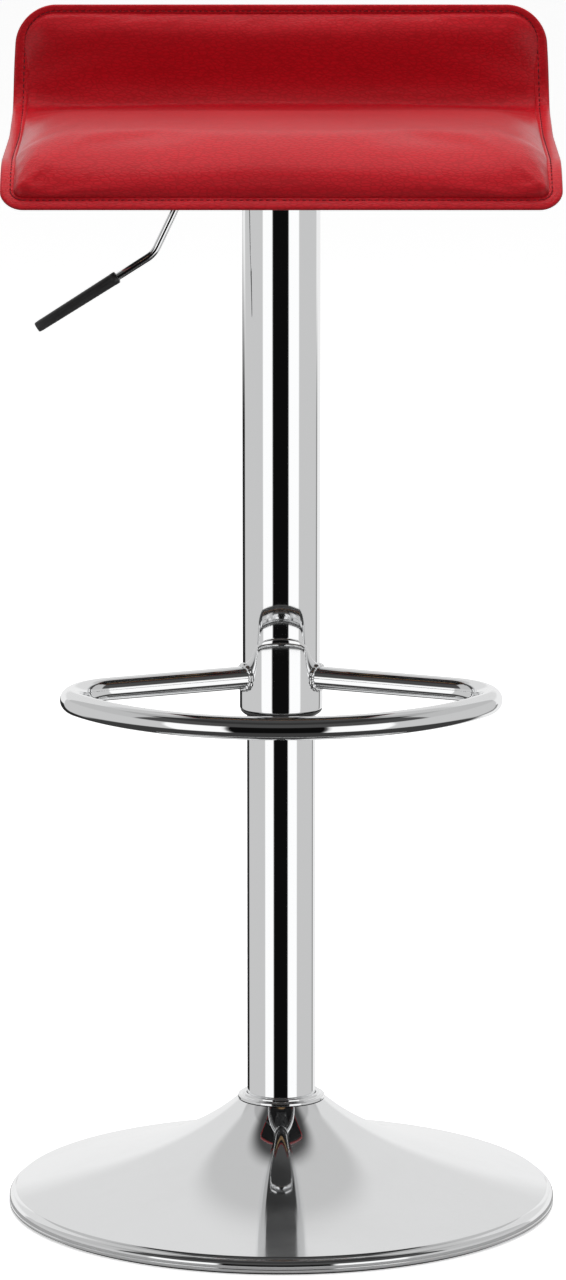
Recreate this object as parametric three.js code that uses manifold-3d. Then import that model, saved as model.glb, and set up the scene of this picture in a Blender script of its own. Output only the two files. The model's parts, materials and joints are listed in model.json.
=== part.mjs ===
// Adjustable swivel bar stool: a chromed trumpet base, a gas-lift column with a sliding outer sleeve,
// a looped footrest, and an upholstered seat bent up into a low back lip and down over the front edge.
// Millimetres, +Z up, the origin on the floor under the column, the front of the stool towards -Y.
// The stool stands at its highest: the gas lift takes the seat, sleeve and footrest down from here.

import * as THREE from "three";
import { mergeVertices } from "three/addons/utils/BufferGeometryUtils.js";
import Module from "manifold-3d";

const wasm = await Module();
wasm.setup();

// ---- Driving dimensions ----

const GAP = 0.3; // between pieces that touch on the real stool

const BASE_R = 192.5;
const BASE_RIM_H = 11;
const BASE_RIM_ROLL = 4.5; // radius of the rolled edge
const BASE_SHEET = 1.6;
const BASE_SLOPE = 0.2; // of the shallow cone
const BASE_FLARE_H = 33.9; // height that the trumpet adds to the cone at the neck
const BASE_FLARE_FADE = 50; // distance over which the flare dies away
const NECK_R = 31;
const NECK_HOLE_R = 27.8;

const FLOOR_RING_R = 188.4;
const BALLAST_Z = 3.3;
const BALLAST_T = 4;

const COLUMN_R = 24;
const COLUMN_WALL = 1.5;
const COLUMN_FOOT_R = 22.8;
const COLUMN_FOOT_Z = 11.5;
const COLUMN_TOP_Z = 448;
const COLLAR_TOP_Z = 80.8;

const SLEEVE_R = 27;
const SLEEVE_WALL = 1.5;
const SLEEVE_FOOT_Z = 357;
const SLEEVE_TOP_Z = 712.5;

const SPRING_R = 14; // pressure tube of the gas spring
const SPRING_BORE_R = 12.2;
const SPRING_FOOT_Z = 330;
const SPRING_TAPER_Z = 662;
const SPRING_TOP_Z = 714.5;
const SPRING_TOP_R = 12.9;
const ROD_R = 5;
const ROD_SPIGOT_R = 4;
const ROD_SHOULDER_Z = 25.2;
const ROD_TOP_Z = 345;
const PIN_R = 3;

const HUB_FOOT_Z = 668;
const BRACKET_FLOOR_Z = 713;
const BRACKET_SHEET = 2;
const BRACKET_HALF_W = 22;
const PLATE_Z = 733.3;
const PLATE_T = 2.5;

const LEVER_R = 2.75;
const LEVER_Z = 721.5;
const LEVER_PIVOT_X = -38;
const GRIP_R = 4.4;

const RING_Z = 381; // centre plane of the footrest
const RING_TUBE_R = 8;
const RING_TUBE_WALL = 1.5;
const RING_ARC_R = 162;
const RING_FRONT_Y = -190;
const RING_CORNER_R = 40;
const ARM_START = [23, -13];
const ARM_FALL = 23.6; // degrees that each arm runs forward of straight sideways
const SADDLE_T = 2;

const SEAT_HALF_W = 188.4;
const FRONT_CORNER_R = 16;
const BACK_CORNER_R = 27;
const SEAT_PAN_Z = 754; // level of the sewn flange along the pan
const FLANGE_W = 9;
const COVER_T = 1.2;
const BELLY = 16.5; // depth of the underside below the flange
const BOARD_T = 8;
const BOARD_INSET = 28;
const CROWN = 19; // height of the cushion above the flange
const CREASE_PULL = 9; // how much thinner the foam is where the lip bends up

const SCREW_X = 58;
const SCREW_Y = [-65, 28];
const SCREW_R = 3;

// ---- Finishes ----

const finish = (color, roughness, metalness) =>
  new THREE.MeshStandardMaterial({ color, roughness, metalness });
const CHROME = finish(0xdfe1e4, 0.08, 1);
const STEEL = finish(0x9a9da1, 0.35, 1);
const BLACK_STEEL = finish(0x24262a, 0.45, 0.6);
const RUBBER = finish(0x17181a, 0.8, 0);
const PLASTIC = finish(0x202124, 0.5, 0);
const NYLON = finish(0xd9d6cb, 0.5, 0);
const PLYWOOD = finish(0xc59a62, 0.7, 0);
const FOAM = finish(0xe9dfb8, 0.95, 0);
const LEATHER = finish(0xa3121f, 0.45, 0);
const BLACK_CLOTH = finish(0x1c1c1e, 0.9, 0);

const stool = new THREE.Group();

function piece(name, geometry, material, parent = stool) {
  const mesh = new THREE.Mesh(geometry, material);
  mesh.name = name;
  parent.add(mesh);
  return mesh;
}

// ---- Shape helpers ----

const radians = THREE.MathUtils.degToRad;

// A solid of revolution about Z from a closed outline of [radius, height] points.
function turned(outline, segments = 32) {
  const points = outline.map(([r, z]) => new THREE.Vector2(r, z));
  if (THREE.ShapeUtils.area(points) < 0) points.reverse();
  points.push(points[0].clone());
  return new THREE.LatheGeometry(points, segments).rotateX(Math.PI / 2);
}

// A plain ring or, with inner = 0, a disc.
function ring(inner, outer, z0, z1, segments = 24) {
  return turned([[inner, z0], [outer, z0], [outer, z1], [inner, z1]], segments);
}

function rod(radius, z0, z1, segments = 20) {
  return new THREE.CylinderGeometry(radius, radius, z1 - z0, segments)
    .rotateX(Math.PI / 2)
    .translate(0, 0, (z0 + z1) / 2);
}

function box(min, max) {
  const size = max.map((v, i) => v - min[i]);
  const centre = max.map((v, i) => (v + min[i]) / 2);
  return new THREE.BoxGeometry(...size).translate(...centre);
}

function prism(shape, z0, z1, curveSegments = 12) {
  const options = { depth: z1 - z0, bevelEnabled: false, curveSegments };
  return new THREE.ExtrudeGeometry(shape, options).translate(0, 0, z0);
}

function toSolid(geometry) {
  const bare = geometry.clone();
  bare.deleteAttribute("normal");
  bare.deleteAttribute("uv");
  const merged = mergeVertices(bare, 1e-3);
  const vertProperties = new Float32Array(merged.attributes.position.array);
  const triVerts = new Uint32Array(merged.index.array);
  return new wasm.Manifold(new wasm.Mesh({ numProp: 3, vertProperties, triVerts }));
}

function toGeometry(solid) {
  const mesh = solid.getMesh();
  return new THREE.BufferGeometry()
    .setAttribute("position", new THREE.BufferAttribute(mesh.vertProperties, 3))
    .setIndex(new THREE.BufferAttribute(mesh.triVerts, 1));
}

function cut(geometry, ...tools) {
  return toGeometry(tools.reduce((left, tool) => left.subtract(toSolid(tool)), toSolid(geometry)));
}

function join(geometry, ...others) {
  return toGeometry(others.reduce((sum, other) => sum.add(toSolid(other)), toSolid(geometry)));
}

// A flat arc in space, from one angle to another about a centre, spanned by two unit vectors.
class ArcCurve extends THREE.Curve {
  constructor(centre, u, v, radius, from, to) {
    super();
    Object.assign(this, { centre, u, v, radius, from, to });
  }

  getPoint(t, target = new THREE.Vector3()) {
    const a = this.from + (this.to - this.from) * t;
    return target
      .copy(this.centre)
      .addScaledVector(this.u, this.radius * Math.cos(a))
      .addScaledVector(this.v, this.radius * Math.sin(a));
  }
}

// A path through corner points with each inner corner rounded to a bend radius.
function bentPath(corners, bendRadius) {
  const path = new THREE.CurvePath();
  let from = corners[0].clone();
  for (let i = 1; i < corners.length - 1; i++) {
    const back = corners[i - 1].clone().sub(corners[i]).normalize();
    const ahead = corners[i + 1].clone().sub(corners[i]).normalize();
    const half = back.angleTo(ahead) / 2;
    const reach = bendRadius / Math.tan(half);
    const start = corners[i].clone().addScaledVector(back, reach);
    const middle = back.clone().add(ahead).normalize();
    const centre = corners[i].clone().addScaledVector(middle, bendRadius / Math.sin(half));
    const u = start.clone().sub(centre).normalize();
    const v = back.clone().negate();
    path.add(new THREE.LineCurve3(from, start));
    path.add(new ArcCurve(centre, u, v, bendRadius, 0, Math.PI - 2 * half));
    from = corners[i].clone().addScaledVector(ahead, reach);
  }
  path.add(new THREE.LineCurve3(from, corners.at(-1)));
  return path;
}

function discShape(radius, holeRadius = 0, sides = 12) {
  const at = (r) => (_, i) =>
    new THREE.Vector2(r * Math.cos((2 * Math.PI * i) / sides), r * Math.sin((2 * Math.PI * i) / sides));
  const shape = new THREE.Shape(Array.from({ length: sides }, at(radius)));
  if (holeRadius) shape.holes.push(new THREE.Path(Array.from({ length: sides }, at(holeRadius))));
  return shape;
}

function swept(shape, path, steps) {
  return new THREE.ExtrudeGeometry(shape, { extrudePath: path, steps, bevelEnabled: false });
}

// ---- Base: trumpet dish, floor ring, ballast, tapered socket and neck collar ----

function dishHeight(r) {
  const cone = BASE_RIM_H + (BASE_R - BASE_RIM_ROLL - r) * BASE_SLOPE;
  return cone + BASE_FLARE_H * Math.exp(-(r - NECK_R) / BASE_FLARE_FADE);
}

function dishOutline() {
  const rimStart = BASE_R - BASE_RIM_ROLL;
  const radii = [NECK_R, 38, 48, 63, 88, 125, rimStart];
  const outer = radii.map((r) => [r, dishHeight(r)]);
  const inner = radii.slice(1).map((r) => [r, dishHeight(r) - BASE_SHEET * 1.15]).reverse();
  const roll = [45, 0].map((deg) => [
    rimStart + BASE_RIM_ROLL * Math.cos(radians(deg)),
    BASE_RIM_H - BASE_RIM_ROLL + BASE_RIM_ROLL * Math.sin(radians(deg)),
  ]);
  const skirtFoot = 2;
  const insideR = BASE_R - BASE_SHEET;
  return [
    [NECK_HOLE_R, dishHeight(NECK_R)],
    ...outer,
    ...roll,
    [BASE_R, skirtFoot],
    [insideR, skirtFoot],
    [insideR, BASE_RIM_H - BASE_RIM_ROLL],
    ...inner,
    [NECK_R, dishHeight(NECK_R) - BASE_SHEET],
    [NECK_HOLE_R, dishHeight(NECK_R) - BASE_SHEET],
  ];
}

function columnRadius(z) {
  const socketTop = 75;
  const t = THREE.MathUtils.clamp((z - COLUMN_FOOT_Z) / (socketTop - COLUMN_FOOT_Z), 0, 1);
  return COLUMN_FOOT_R + (COLUMN_R - COLUMN_FOOT_R) * t;
}

function addBase() {
  const ringInner = FLOOR_RING_R - 12.4;
  const lip = FLOOR_RING_R + 2.1; // the barb that holds the ring inside the dish's skirt
  const seatR = FLOOR_RING_R - 4.4;
  piece("base_dish", turned(dishOutline(), 40), CHROME);
  piece("base_floor_ring", turned([
    [ringInner, 0], [FLOOR_RING_R, 0], [FLOOR_RING_R, 2.4], [lip, 2.9], [FLOOR_RING_R, 5.6],
    [seatR, 5.6], [seatR, 3], [ringInner, 3],
  ], 40), RUBBER);
  const ballastTop = BALLAST_Z + BALLAST_T;
  piece("base_ballast_plate", ring(14, seatR - 0.5, BALLAST_Z, ballastTop, 40), BLACK_STEEL);

  const foot = ballastTop + GAP;
  const socketTop = 75.5;
  piece("column_socket", turned([
    [columnRadius(0) + GAP, foot], [46, foot], [46, foot + 2.8], [27.3, foot + 2.8],
    [27.3, socketTop], [COLUMN_R + GAP, socketTop], [COLUMN_R + GAP, 75],
    [columnRadius(COLUMN_FOOT_Z) + GAP, COLUMN_FOOT_Z],
  ], 32), STEEL);
  const collarFoot = dishHeight(NECK_R) + GAP;
  piece("neck_collar", turned([
    [COLUMN_R + GAP, collarFoot], [30.6, collarFoot], [30.6, collarFoot + 2.3],
    [27.4, collarFoot + 2.3], [27.4, COLLAR_TOP_Z], [COLUMN_R + GAP, COLLAR_TOP_Z],
  ], 40), CHROME);
}

// ---- Column: fixed outer tube with the thrust bearing at its foot and the guide bush at its top ----

function addColumn() {
  piece("column_tube", turned([
    [columnRadius(0) - COLUMN_WALL, COLUMN_FOOT_Z], [columnRadius(0), COLUMN_FOOT_Z], [COLUMN_R, 75],
    [COLUMN_R, COLUMN_TOP_Z], [COLUMN_R - COLUMN_WALL, COLUMN_TOP_Z], [COLUMN_R - COLUMN_WALL, 75],
  ], 40), CHROME);
  piece("column_end_plate", ring(4.4, 20.9, 14, 17), STEEL);
  piece("bearing_race_lower", ring(4.4, 13, 17.3, 19.1, 20), STEEL);
  const bushBore = SPRING_R + GAP;
  const bushR = COLUMN_R - COLUMN_WALL - GAP;
  const seatZ = COLUMN_TOP_Z + GAP;
  piece("column_guide_bush", turned([
    [bushBore, COLUMN_TOP_Z - 75], [bushR, COLUMN_TOP_Z - 75], [bushR, seatZ], [COLUMN_R - 0.4, seatZ],
    [COLUMN_R - 0.4, seatZ + 2.8], [bushBore, seatZ + 2.8],
  ]), NYLON);
}

// ---- Piston rod: turns on the thrust bearing and carries the gas spring ----

function addPistonRod() {
  const nutFoot = ROD_TOP_Z + 12.6;
  piece("piston_rod", turned([
    [0, 8.6], [ROD_SPIGOT_R, 8.6], [ROD_SPIGOT_R, ROD_SHOULDER_Z], [ROD_R, ROD_SHOULDER_Z],
    [ROD_R, ROD_TOP_Z], [3.5, ROD_TOP_Z], [3.5, ROD_TOP_Z + 19], [0, ROD_TOP_Z + 19],
  ], 16), STEEL);
  piece("rod_retaining_clip", ring(4.3, 8, 9.8, 11.2, 20), STEEL);
  piece("rod_washer", ring(4.3, 10, 11.6, 13.6, 20), STEEL);
  piece("bearing_ball_cage", ring(4.4, 13, 19.4, 22.6, 20), NYLON);
  piece("bearing_race_upper", ring(4.4, 13, 22.9, 24.8, 20), STEEL);
  piece("rubber_buffer", turned([
    [ROD_R + GAP, 25.5], [13, 25.5], [13, 39], [10.5, 43], [ROD_R + GAP, 43],
  ], 24), RUBBER);
  piece("piston", turned([
    [3.8, ROD_TOP_Z + GAP], [11.7, ROD_TOP_Z + GAP], [11.7, ROD_TOP_Z + 4.4], [10.3, ROD_TOP_Z + 4.4],
    [10.3, ROD_TOP_Z + 8.2], [11.7, ROD_TOP_Z + 8.2], [11.7, ROD_TOP_Z + 12.3], [3.8, ROD_TOP_Z + 12.3],
  ], 20), STEEL);
  piece("piston_seal", ring(10.6, 11.95, ROD_TOP_Z + 4.7, ROD_TOP_Z + 7.9, 24), RUBBER);
  piece("piston_nut", prism(discShape(6.4, 4.3, 6), nutFoot, nutFoot + 5), STEEL);
}

// ---- Gas spring tube, which slides over the piston and wedges into the seat's hub ----

function springRadius(z) {
  const t = THREE.MathUtils.clamp((z - SPRING_TAPER_Z) / (SPRING_TOP_Z - SPRING_TAPER_Z), 0, 1);
  return SPRING_R + (SPRING_TOP_R - SPRING_R) * t;
}

function addGasSpring() {
  const pinHole = PIN_R + GAP;
  const roof = SPRING_TOP_Z - 2;
  piece("pressure_tube", turned([
    [SPRING_BORE_R, SPRING_FOOT_Z], [SPRING_R, SPRING_FOOT_Z], [SPRING_R, SPRING_TAPER_Z],
    [SPRING_TOP_R, SPRING_TOP_Z], [pinHole, SPRING_TOP_Z], [pinHole, roof], [11.4, roof],
    [SPRING_BORE_R, SPRING_TAPER_Z],
  ]), BLACK_STEEL);
  piece("pressure_tube_gland", ring(ROD_R + GAP, 11.9, SPRING_FOOT_Z + 0.5, SPRING_FOOT_Z + 11), NYLON);
  piece("valve_body", ring(pinHole, 11, roof - 24, roof - GAP), STEEL);
  piece("release_pin", rod(PIN_R, roof - 22, LEVER_Z - LEVER_R - 0.65), STEEL);
}

// ---- Outer sleeve and the hub that joins it to the seat ----

function addSleeve() {
  const bore = SLEEVE_R - SLEEVE_WALL;
  const slide = COLUMN_R + 0.4;
  piece("sleeve_tube", ring(bore, SLEEVE_R, SLEEVE_FOOT_Z, SLEEVE_TOP_Z, 40), CHROME);
  piece("sleeve_end_ring", turned([
    [slide, SLEEVE_FOOT_Z - 4], [28.6, SLEEVE_FOOT_Z - 4], [28.6, SLEEVE_FOOT_Z - GAP],
    [bore - GAP, SLEEVE_FOOT_Z - GAP], [bore - GAP, SLEEVE_FOOT_Z + 18], [slide, SLEEVE_FOOT_Z + 18],
  ], 40), PLASTIC);
  piece("sleeve_top_cap", ring(19.3, bore - GAP, SLEEVE_TOP_Z - 10, SLEEVE_TOP_Z), PLASTIC);
  const hubTop = BRACKET_FLOOR_Z - GAP;
  piece("seat_hub", turned([
    [springRadius(HUB_FOOT_Z) + GAP, HUB_FOOT_Z], [17.5, HUB_FOOT_Z], [19, HUB_FOOT_Z + 5],
    [19, hubTop], [springRadius(hubTop) + GAP, hubTop],
  ]), STEEL);
}

// ---- Footrest: a tube bent into a loop, and the saddle plate that holds it on the sleeve ----

// The loop's centre line: an arm, a corner, the long front arc, and the same mirrored.
function footrestPath() {
  const arcCentre = new THREE.Vector2(0, RING_FRONT_Y + RING_ARC_R);
  const start = new THREE.Vector2(...ARM_START);
  const along = new THREE.Vector2(Math.cos(radians(ARM_FALL)), -Math.sin(radians(ARM_FALL)));
  const inward = new THREE.Vector2(along.y, -along.x);
  const offset = start.clone().addScaledVector(inward, RING_CORNER_R).sub(arcCentre);
  const reach = RING_ARC_R - RING_CORNER_R;
  const b = offset.dot(along);
  const armLength = -b + Math.sqrt(b * b - offset.lengthSq() + reach * reach);
  const armEnd = start.clone().addScaledVector(along, armLength);
  const corner = armEnd.clone().addScaledVector(inward, RING_CORNER_R);
  const turn = corner.clone().sub(arcCentre).angle() - 2 * Math.PI;
  const armSide = inward.clone().negate().angle();

  const at = (p, side) => new THREE.Vector3(side * p.x, p.y, RING_Z);
  const x = new THREE.Vector3(1, 0, 0);
  const y = new THREE.Vector3(0, 1, 0);
  const path = new THREE.CurvePath();
  const inner = start.clone().addScaledVector(along, -12);
  path.add(new THREE.LineCurve3(at(inner, 1), at(armEnd, 1)));
  path.add(new ArcCurve(at(corner, 1), x, y, RING_CORNER_R, armSide, turn));
  path.add(new ArcCurve(at(arcCentre, 1), x, y, RING_ARC_R, turn, -Math.PI - turn));
  path.add(new ArcCurve(at(corner, -1), x, y, RING_CORNER_R, -Math.PI - turn, -Math.PI - armSide));
  path.add(new THREE.LineCurve3(at(armEnd, -1), at(inner, -1)));
  return path;
}

// The saddle's bell outline as seen from the front, X across and height up.
function saddleShape() {
  const foot = SLEEVE_FOOT_Z + GAP;
  const shape = new THREE.Shape();
  shape.moveTo(-30, foot);
  shape.lineTo(30, foot);
  shape.lineTo(30, RING_Z + RING_TUBE_R);
  shape.quadraticCurveTo(21.5, RING_Z + 11, 19, RING_Z + 22);
  shape.quadraticCurveTo(16, RING_Z + 30, 0, RING_Z + 30.5);
  shape.quadraticCurveTo(-16, RING_Z + 30, -19, RING_Z + 22);
  shape.quadraticCurveTo(-21.5, RING_Z + 11, -30, RING_Z + RING_TUBE_R);
  return shape;
}

function addFootrest() {
  const saddleR = SLEEVE_R + GAP + SADDLE_T;
  const tube = swept(discShape(RING_TUBE_R, RING_TUBE_R - RING_TUBE_WALL, 8), footrestPath(), 40);
  const clearance = rod(saddleR + GAP, RING_Z - 20, RING_Z + 20, 40);
  piece("footrest_ring", cut(tube, clearance), CHROME);
  const wrap = ring(SLEEVE_R + GAP, saddleR, SLEEVE_FOOT_Z - 5, SLEEVE_FOOT_Z + 70, 40);
  const bell = prism(saddleShape(), 0, 40).rotateX(Math.PI / 2).translate(0, -3, 0);
  piece("footrest_saddle", toGeometry(toSolid(wrap).intersect(toSolid(bell))), CHROME);
}

// ---- Lever bracket, seat plate and screws ----

function addSeatPlate() {
  const floorTop = BRACKET_FLOOR_Z + BRACKET_SHEET;
  const inside = BRACKET_HALF_W - BRACKET_SHEET;
  const channel = cut(
    box([-52, -BRACKET_HALF_W, BRACKET_FLOOR_Z], [36, BRACKET_HALF_W, PLATE_Z - GAP]),
    box([-60, -inside, floorTop], [50, inside, PLATE_Z + 10]),
    rod(16, BRACKET_FLOOR_Z - 5, floorTop + 5, 32),
    crossRod(3.4, -30, 30),
  );
  piece("lever_bracket", channel, BLACK_STEEL);

  const plate = new THREE.Shape();
  const [halfX, back, front, round] = [75, 50, -85, 10];
  plate.absarc(halfX - round, back - round, round, 0, Math.PI / 2);
  plate.absarc(round - halfX, back - round, round, Math.PI / 2, Math.PI);
  plate.absarc(round - halfX, front + round, round, Math.PI, 1.5 * Math.PI);
  plate.absarc(halfX - round, front + round, round, 1.5 * Math.PI, 2 * Math.PI);
  piece("seat_plate", cut(prism(plate, PLATE_Z, PLATE_Z + PLATE_T, 4), ...screwHoles()), BLACK_STEEL);

  screwPlaces().forEach(([x, y], i) => {
    const screw = turned([
      [0, PLATE_Z - 4], [3.6, PLATE_Z - 4], [5.6, PLATE_Z - 2], [5.6, PLATE_Z - GAP],
      [SCREW_R, PLATE_Z - GAP], [SCREW_R, SEAT_PAN_Z - 8.5], [0, SEAT_PAN_Z - 8.5],
    ], 16);
    piece("seat_screw_" + (i + 1), screw, STEEL).position.set(x, y, 0);
  });
}

function screwPlaces() {
  return SCREW_Y.flatMap((y) => [[-SCREW_X, y], [SCREW_X, y]]);
}

function screwHoles() {
  return screwPlaces().map(([x, y]) => rod(SCREW_R + GAP, PLATE_Z - 10, SEAT_PAN_Z, 16).translate(x, y, 0));
}

// ---- Height lever ----

// A round bar along Y on the lever's pivot line.
function crossRod(radius, y0, y1) {
  return new THREE.CylinderGeometry(radius, radius, y1 - y0, 20)
    .translate(0, (y0 + y1) / 2, 0)
    .translate(LEVER_PIVOT_X, 0, LEVER_Z);
}

function leverPoints() {
  const drop = new THREE.Vector3(-66.5, 0, LEVER_Z);
  const knee = new THREE.Vector3(-88, 0, 676.5);
  const tip = new THREE.Vector3(-169, 0, 625);
  return { inner: new THREE.Vector3(6, 0, LEVER_Z), drop, knee, tip };
}

function addLever() {
  const { inner, drop, knee, tip } = leverPoints();
  const out = tip.clone().sub(knee).normalize();
  const rodEnd = tip.clone().addScaledVector(out, -3);
  const gripStart = tip.clone().addScaledVector(out, -66);
  const path = bentPath([inner, drop, knee, rodEnd], 11);
  piece("lever_rod", swept(discShape(LEVER_R, 0, 8), path, 26), CHROME);
  const gripShape = discShape(GRIP_R, LEVER_R + GAP, 16);
  piece("lever_grip", swept(gripShape, new THREE.LineCurve3(gripStart, tip), 1), PLASTIC);

  const block = join(
    box([LEVER_PIVOT_X - 6, -19.6, LEVER_Z - 5.5], [LEVER_PIVOT_X + 6, 19.6, LEVER_Z + 5.5]),
    crossRod(3.1, -22.6, 22.6),
  );
  const bore = rod(LEVER_R + GAP, -20, 20, 16).rotateY(Math.PI / 2).translate(LEVER_PIVOT_X, 0, LEVER_Z);
  piece("lever_pivot_block", cut(block, bore), PLASTIC);
}

// ---- Seat: bent board, foam and two sewn cover panels, all laid along one side profile ----

// The flange line from the front bottom edge to the top of the back lip, as straights and arcs.
// Each entry is [length, turn in degrees]: a turn of 0 is straight.
const PROFILE = [[66.6, -54.5], [115, 0], [31.4, 9], [44, 0], [30.3, 79], [53.5, 0]];
const PROFILE_START_DEG = 54.5;
const PROFILE_LENGTH = PROFILE.reduce((sum, [length]) => sum + length, 0);
const BEND_MIDDLE = PROFILE_LENGTH - 53.5 - 30.3 / 2;

// Point and up-facing normal of the profile at a distance s from its front end, before placing.
function walkProfile(s) {
  let [y, z, heading] = [0, 0, radians(PROFILE_START_DEG)];
  let left = s;
  for (const [length, turn] of PROFILE) {
    const step = Math.min(left, length);
    const bend = (radians(turn) * step) / length;
    const chord = bend === 0 ? step : (2 * step * Math.sin(bend / 2)) / bend;
    y += chord * Math.cos(heading + bend / 2);
    z += chord * Math.sin(heading + bend / 2);
    heading += bend;
    left -= step;
    if (left <= 0) break;
  }
  return { y, z, heading };
}

const PAN_START = walkProfile(PROFILE[0][0]);
const PAN_START_Y = -100;

// A point of the seat: u across, s along the profile, h above the flange line.
function seatPoint(u, s, h) {
  const { y, z, heading } = walkProfile(s);
  return new THREE.Vector3(
    u,
    y - PAN_START.y + PAN_START_Y - h * Math.sin(heading),
    z - PAN_START.z + SEAT_PAN_Z + h * Math.cos(heading),
  );
}

// Half the width, at a distance s along the seat, of the seat's rounded outline drawn in by an inset.
function halfWidth(s, inset) {
  const { end, cornerR } = nearerEnd(s);
  const radius = Math.max(cornerR - inset, 0);
  const centre = Math.max(cornerR, inset);
  const intoCorner = Math.min(Math.max(centre - end, 0), radius);
  return SEAT_HALF_W - centre + Math.sqrt(radius * radius - intoCorner * intoCorner);
}

// The distance to the nearer end of the seat, and that end's corner radius.
function nearerEnd(s) {
  if (s < PROFILE_LENGTH / 2) return { end: s, cornerR: FRONT_CORNER_R };
  return { end: PROFILE_LENGTH - s, cornerR: BACK_CORNER_R };
}

// Distance from the seat's outline to a point inside it.
function edgeDistance(u, s) {
  const { end, cornerR } = nearerEnd(s);
  const side = SEAT_HALF_W - Math.abs(u);
  if (side >= cornerR || end >= cornerR) return Math.min(side, end);
  return cornerR - Math.hypot(cornerR - side, cornerR - end);
}

// Rises from 0 at the inner edge of the flange to 1 over a given distance, steep first, like a stuffed edge.
function puff(distance, span) {
  const t = THREE.MathUtils.clamp((distance - FLANGE_W) / span, 0, 1);
  return Math.sqrt(1 - (1 - t) ** 2);
}

function crown(d, s) {
  const pull = CREASE_PULL * Math.exp(-(((s - BEND_MIDDLE) / 32) ** 2));
  return (CROWN - pull) * puff(d, 36);
}

const belly = (d) => BELLY * puff(d, 13);

// Stations along the seat and across it, dense at the edges and along the bends.
const EDGE_STEPS = [0, FLANGE_W, 12, 16.5, 22.5, 23.5, BOARD_INSET, 45];

function stations(inset) {
  const bends = [50, 66.6, 181.6, 213, 257, 265, 272, 279.5, 287.3];
  const edges = EDGE_STEPS.filter((e) => e >= inset).flatMap((e) => [e, PROFILE_LENGTH - e]);
  const own = [inset, PROFILE_LENGTH - inset];
  const all = new Set([...bends, ...edges, ...own]);
  return [...all].filter((s) => s >= inset && s <= PROFILE_LENGTH - inset).sort((a, b) => a - b);
}

function columns(s, inset) {
  const half = halfWidth(s, inset);
  const edge = EDGE_STEPS.filter((e) => e > inset).map((e) => half - (e - inset));
  const right = [half, ...edge, 70].sort((a, b) => a - b);
  return [...right.map((u) => -u).reverse(), 0, ...right];
}

// A closed pad between two height functions of (edge distance, station), inset from the seat's outline.
function pad(inset, top, bottom) {
  const rows = stations(inset).map((s) => {
    const across = columns(s, inset);
    const at = (height) => (u) => seatPoint(u, s, height(edgeDistance(u, s), s));
    return [...across.map(at(top)), ...across.map(at(bottom)).reverse()];
  });
  const size = rows[0].length;
  const index = [];
  for (let r = 0; r + 1 < rows.length; r++)
    for (let i = 0; i < size; i++) {
      const [a, b] = [r * size + i, r * size + ((i + 1) % size)];
      index.push(a, b, b + size, a, b + size, a + size);
    }
  const last = (rows.length - 1) * size;
  for (let i = 0; i + 1 < size / 2; i++) {
    const j = size - 1 - i;
    index.push(i, j, j - 1, i, j - 1, i + 1);
    index.push(last + i, last + j - 1, last + j, last + i, last + i + 1, last + j - 1);
  }
  const geometry = new THREE.BufferGeometry().setFromPoints(rows.flat());
  return geometry.setIndex(index);
}

function addSeat() {
  const seam = GAP / 2;
  const boardTop = BOARD_T - BELLY + COVER_T + GAP;
  const coverTop = (d, s) => crown(d, s) + seam + COVER_T;
  const coverUnder = (d, s) => crown(d, s) + seam;
  const underTop = (d) => -belly(d) - seam;
  const underside = (d) => -belly(d) - seam - COVER_T;
  const foamSlack = 1.5; // the stretched cover stands this far off the foam at the rounded corners
  const foamTop = (d, s) => Math.max(coverUnder(d, s) - foamSlack, 0.5);
  const foamFoot = (d) => (d < 23 ? Math.min(underTop(d) + foamSlack, -0.5) : boardTop + GAP);
  const boardFoot = boardTop - BOARD_T;
  piece("seat_cover_top", pad(0, coverTop, coverUnder), LEATHER);
  piece("seat_cover_bottom", cut(pad(0, underTop, underside), ...screwHoles()), BLACK_CLOTH);
  piece("seat_foam", pad(13, foamTop, foamFoot), FOAM);
  const board = pad(BOARD_INSET, () => boardTop, () => boardFoot);
  piece("seat_board", cut(board, ...screwHoles()), PLYWOOD);
}

addBase();
addColumn();
addPistonRod();
addGasSpring();
addSleeve();
addFootrest();
addSeatPlate();
addLever();
addSeat();

export default stool;
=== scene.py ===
"""Adjustable swivel stool: the finished look of every piece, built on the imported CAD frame.

Sizes are written in millimetres and become metres as each mesh is made. +Z is up, the floor is at
z = 0 under the column's axis, and the front of the stool faces -Y.
"""

from __future__ import annotations

import json
import logging
import math
from collections.abc import Callable, Sequence
from dataclasses import dataclass
from dataclasses import field
from enum import Enum

import bmesh
import bpy
import numpy as np
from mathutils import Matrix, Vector
from mathutils import noise

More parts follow.
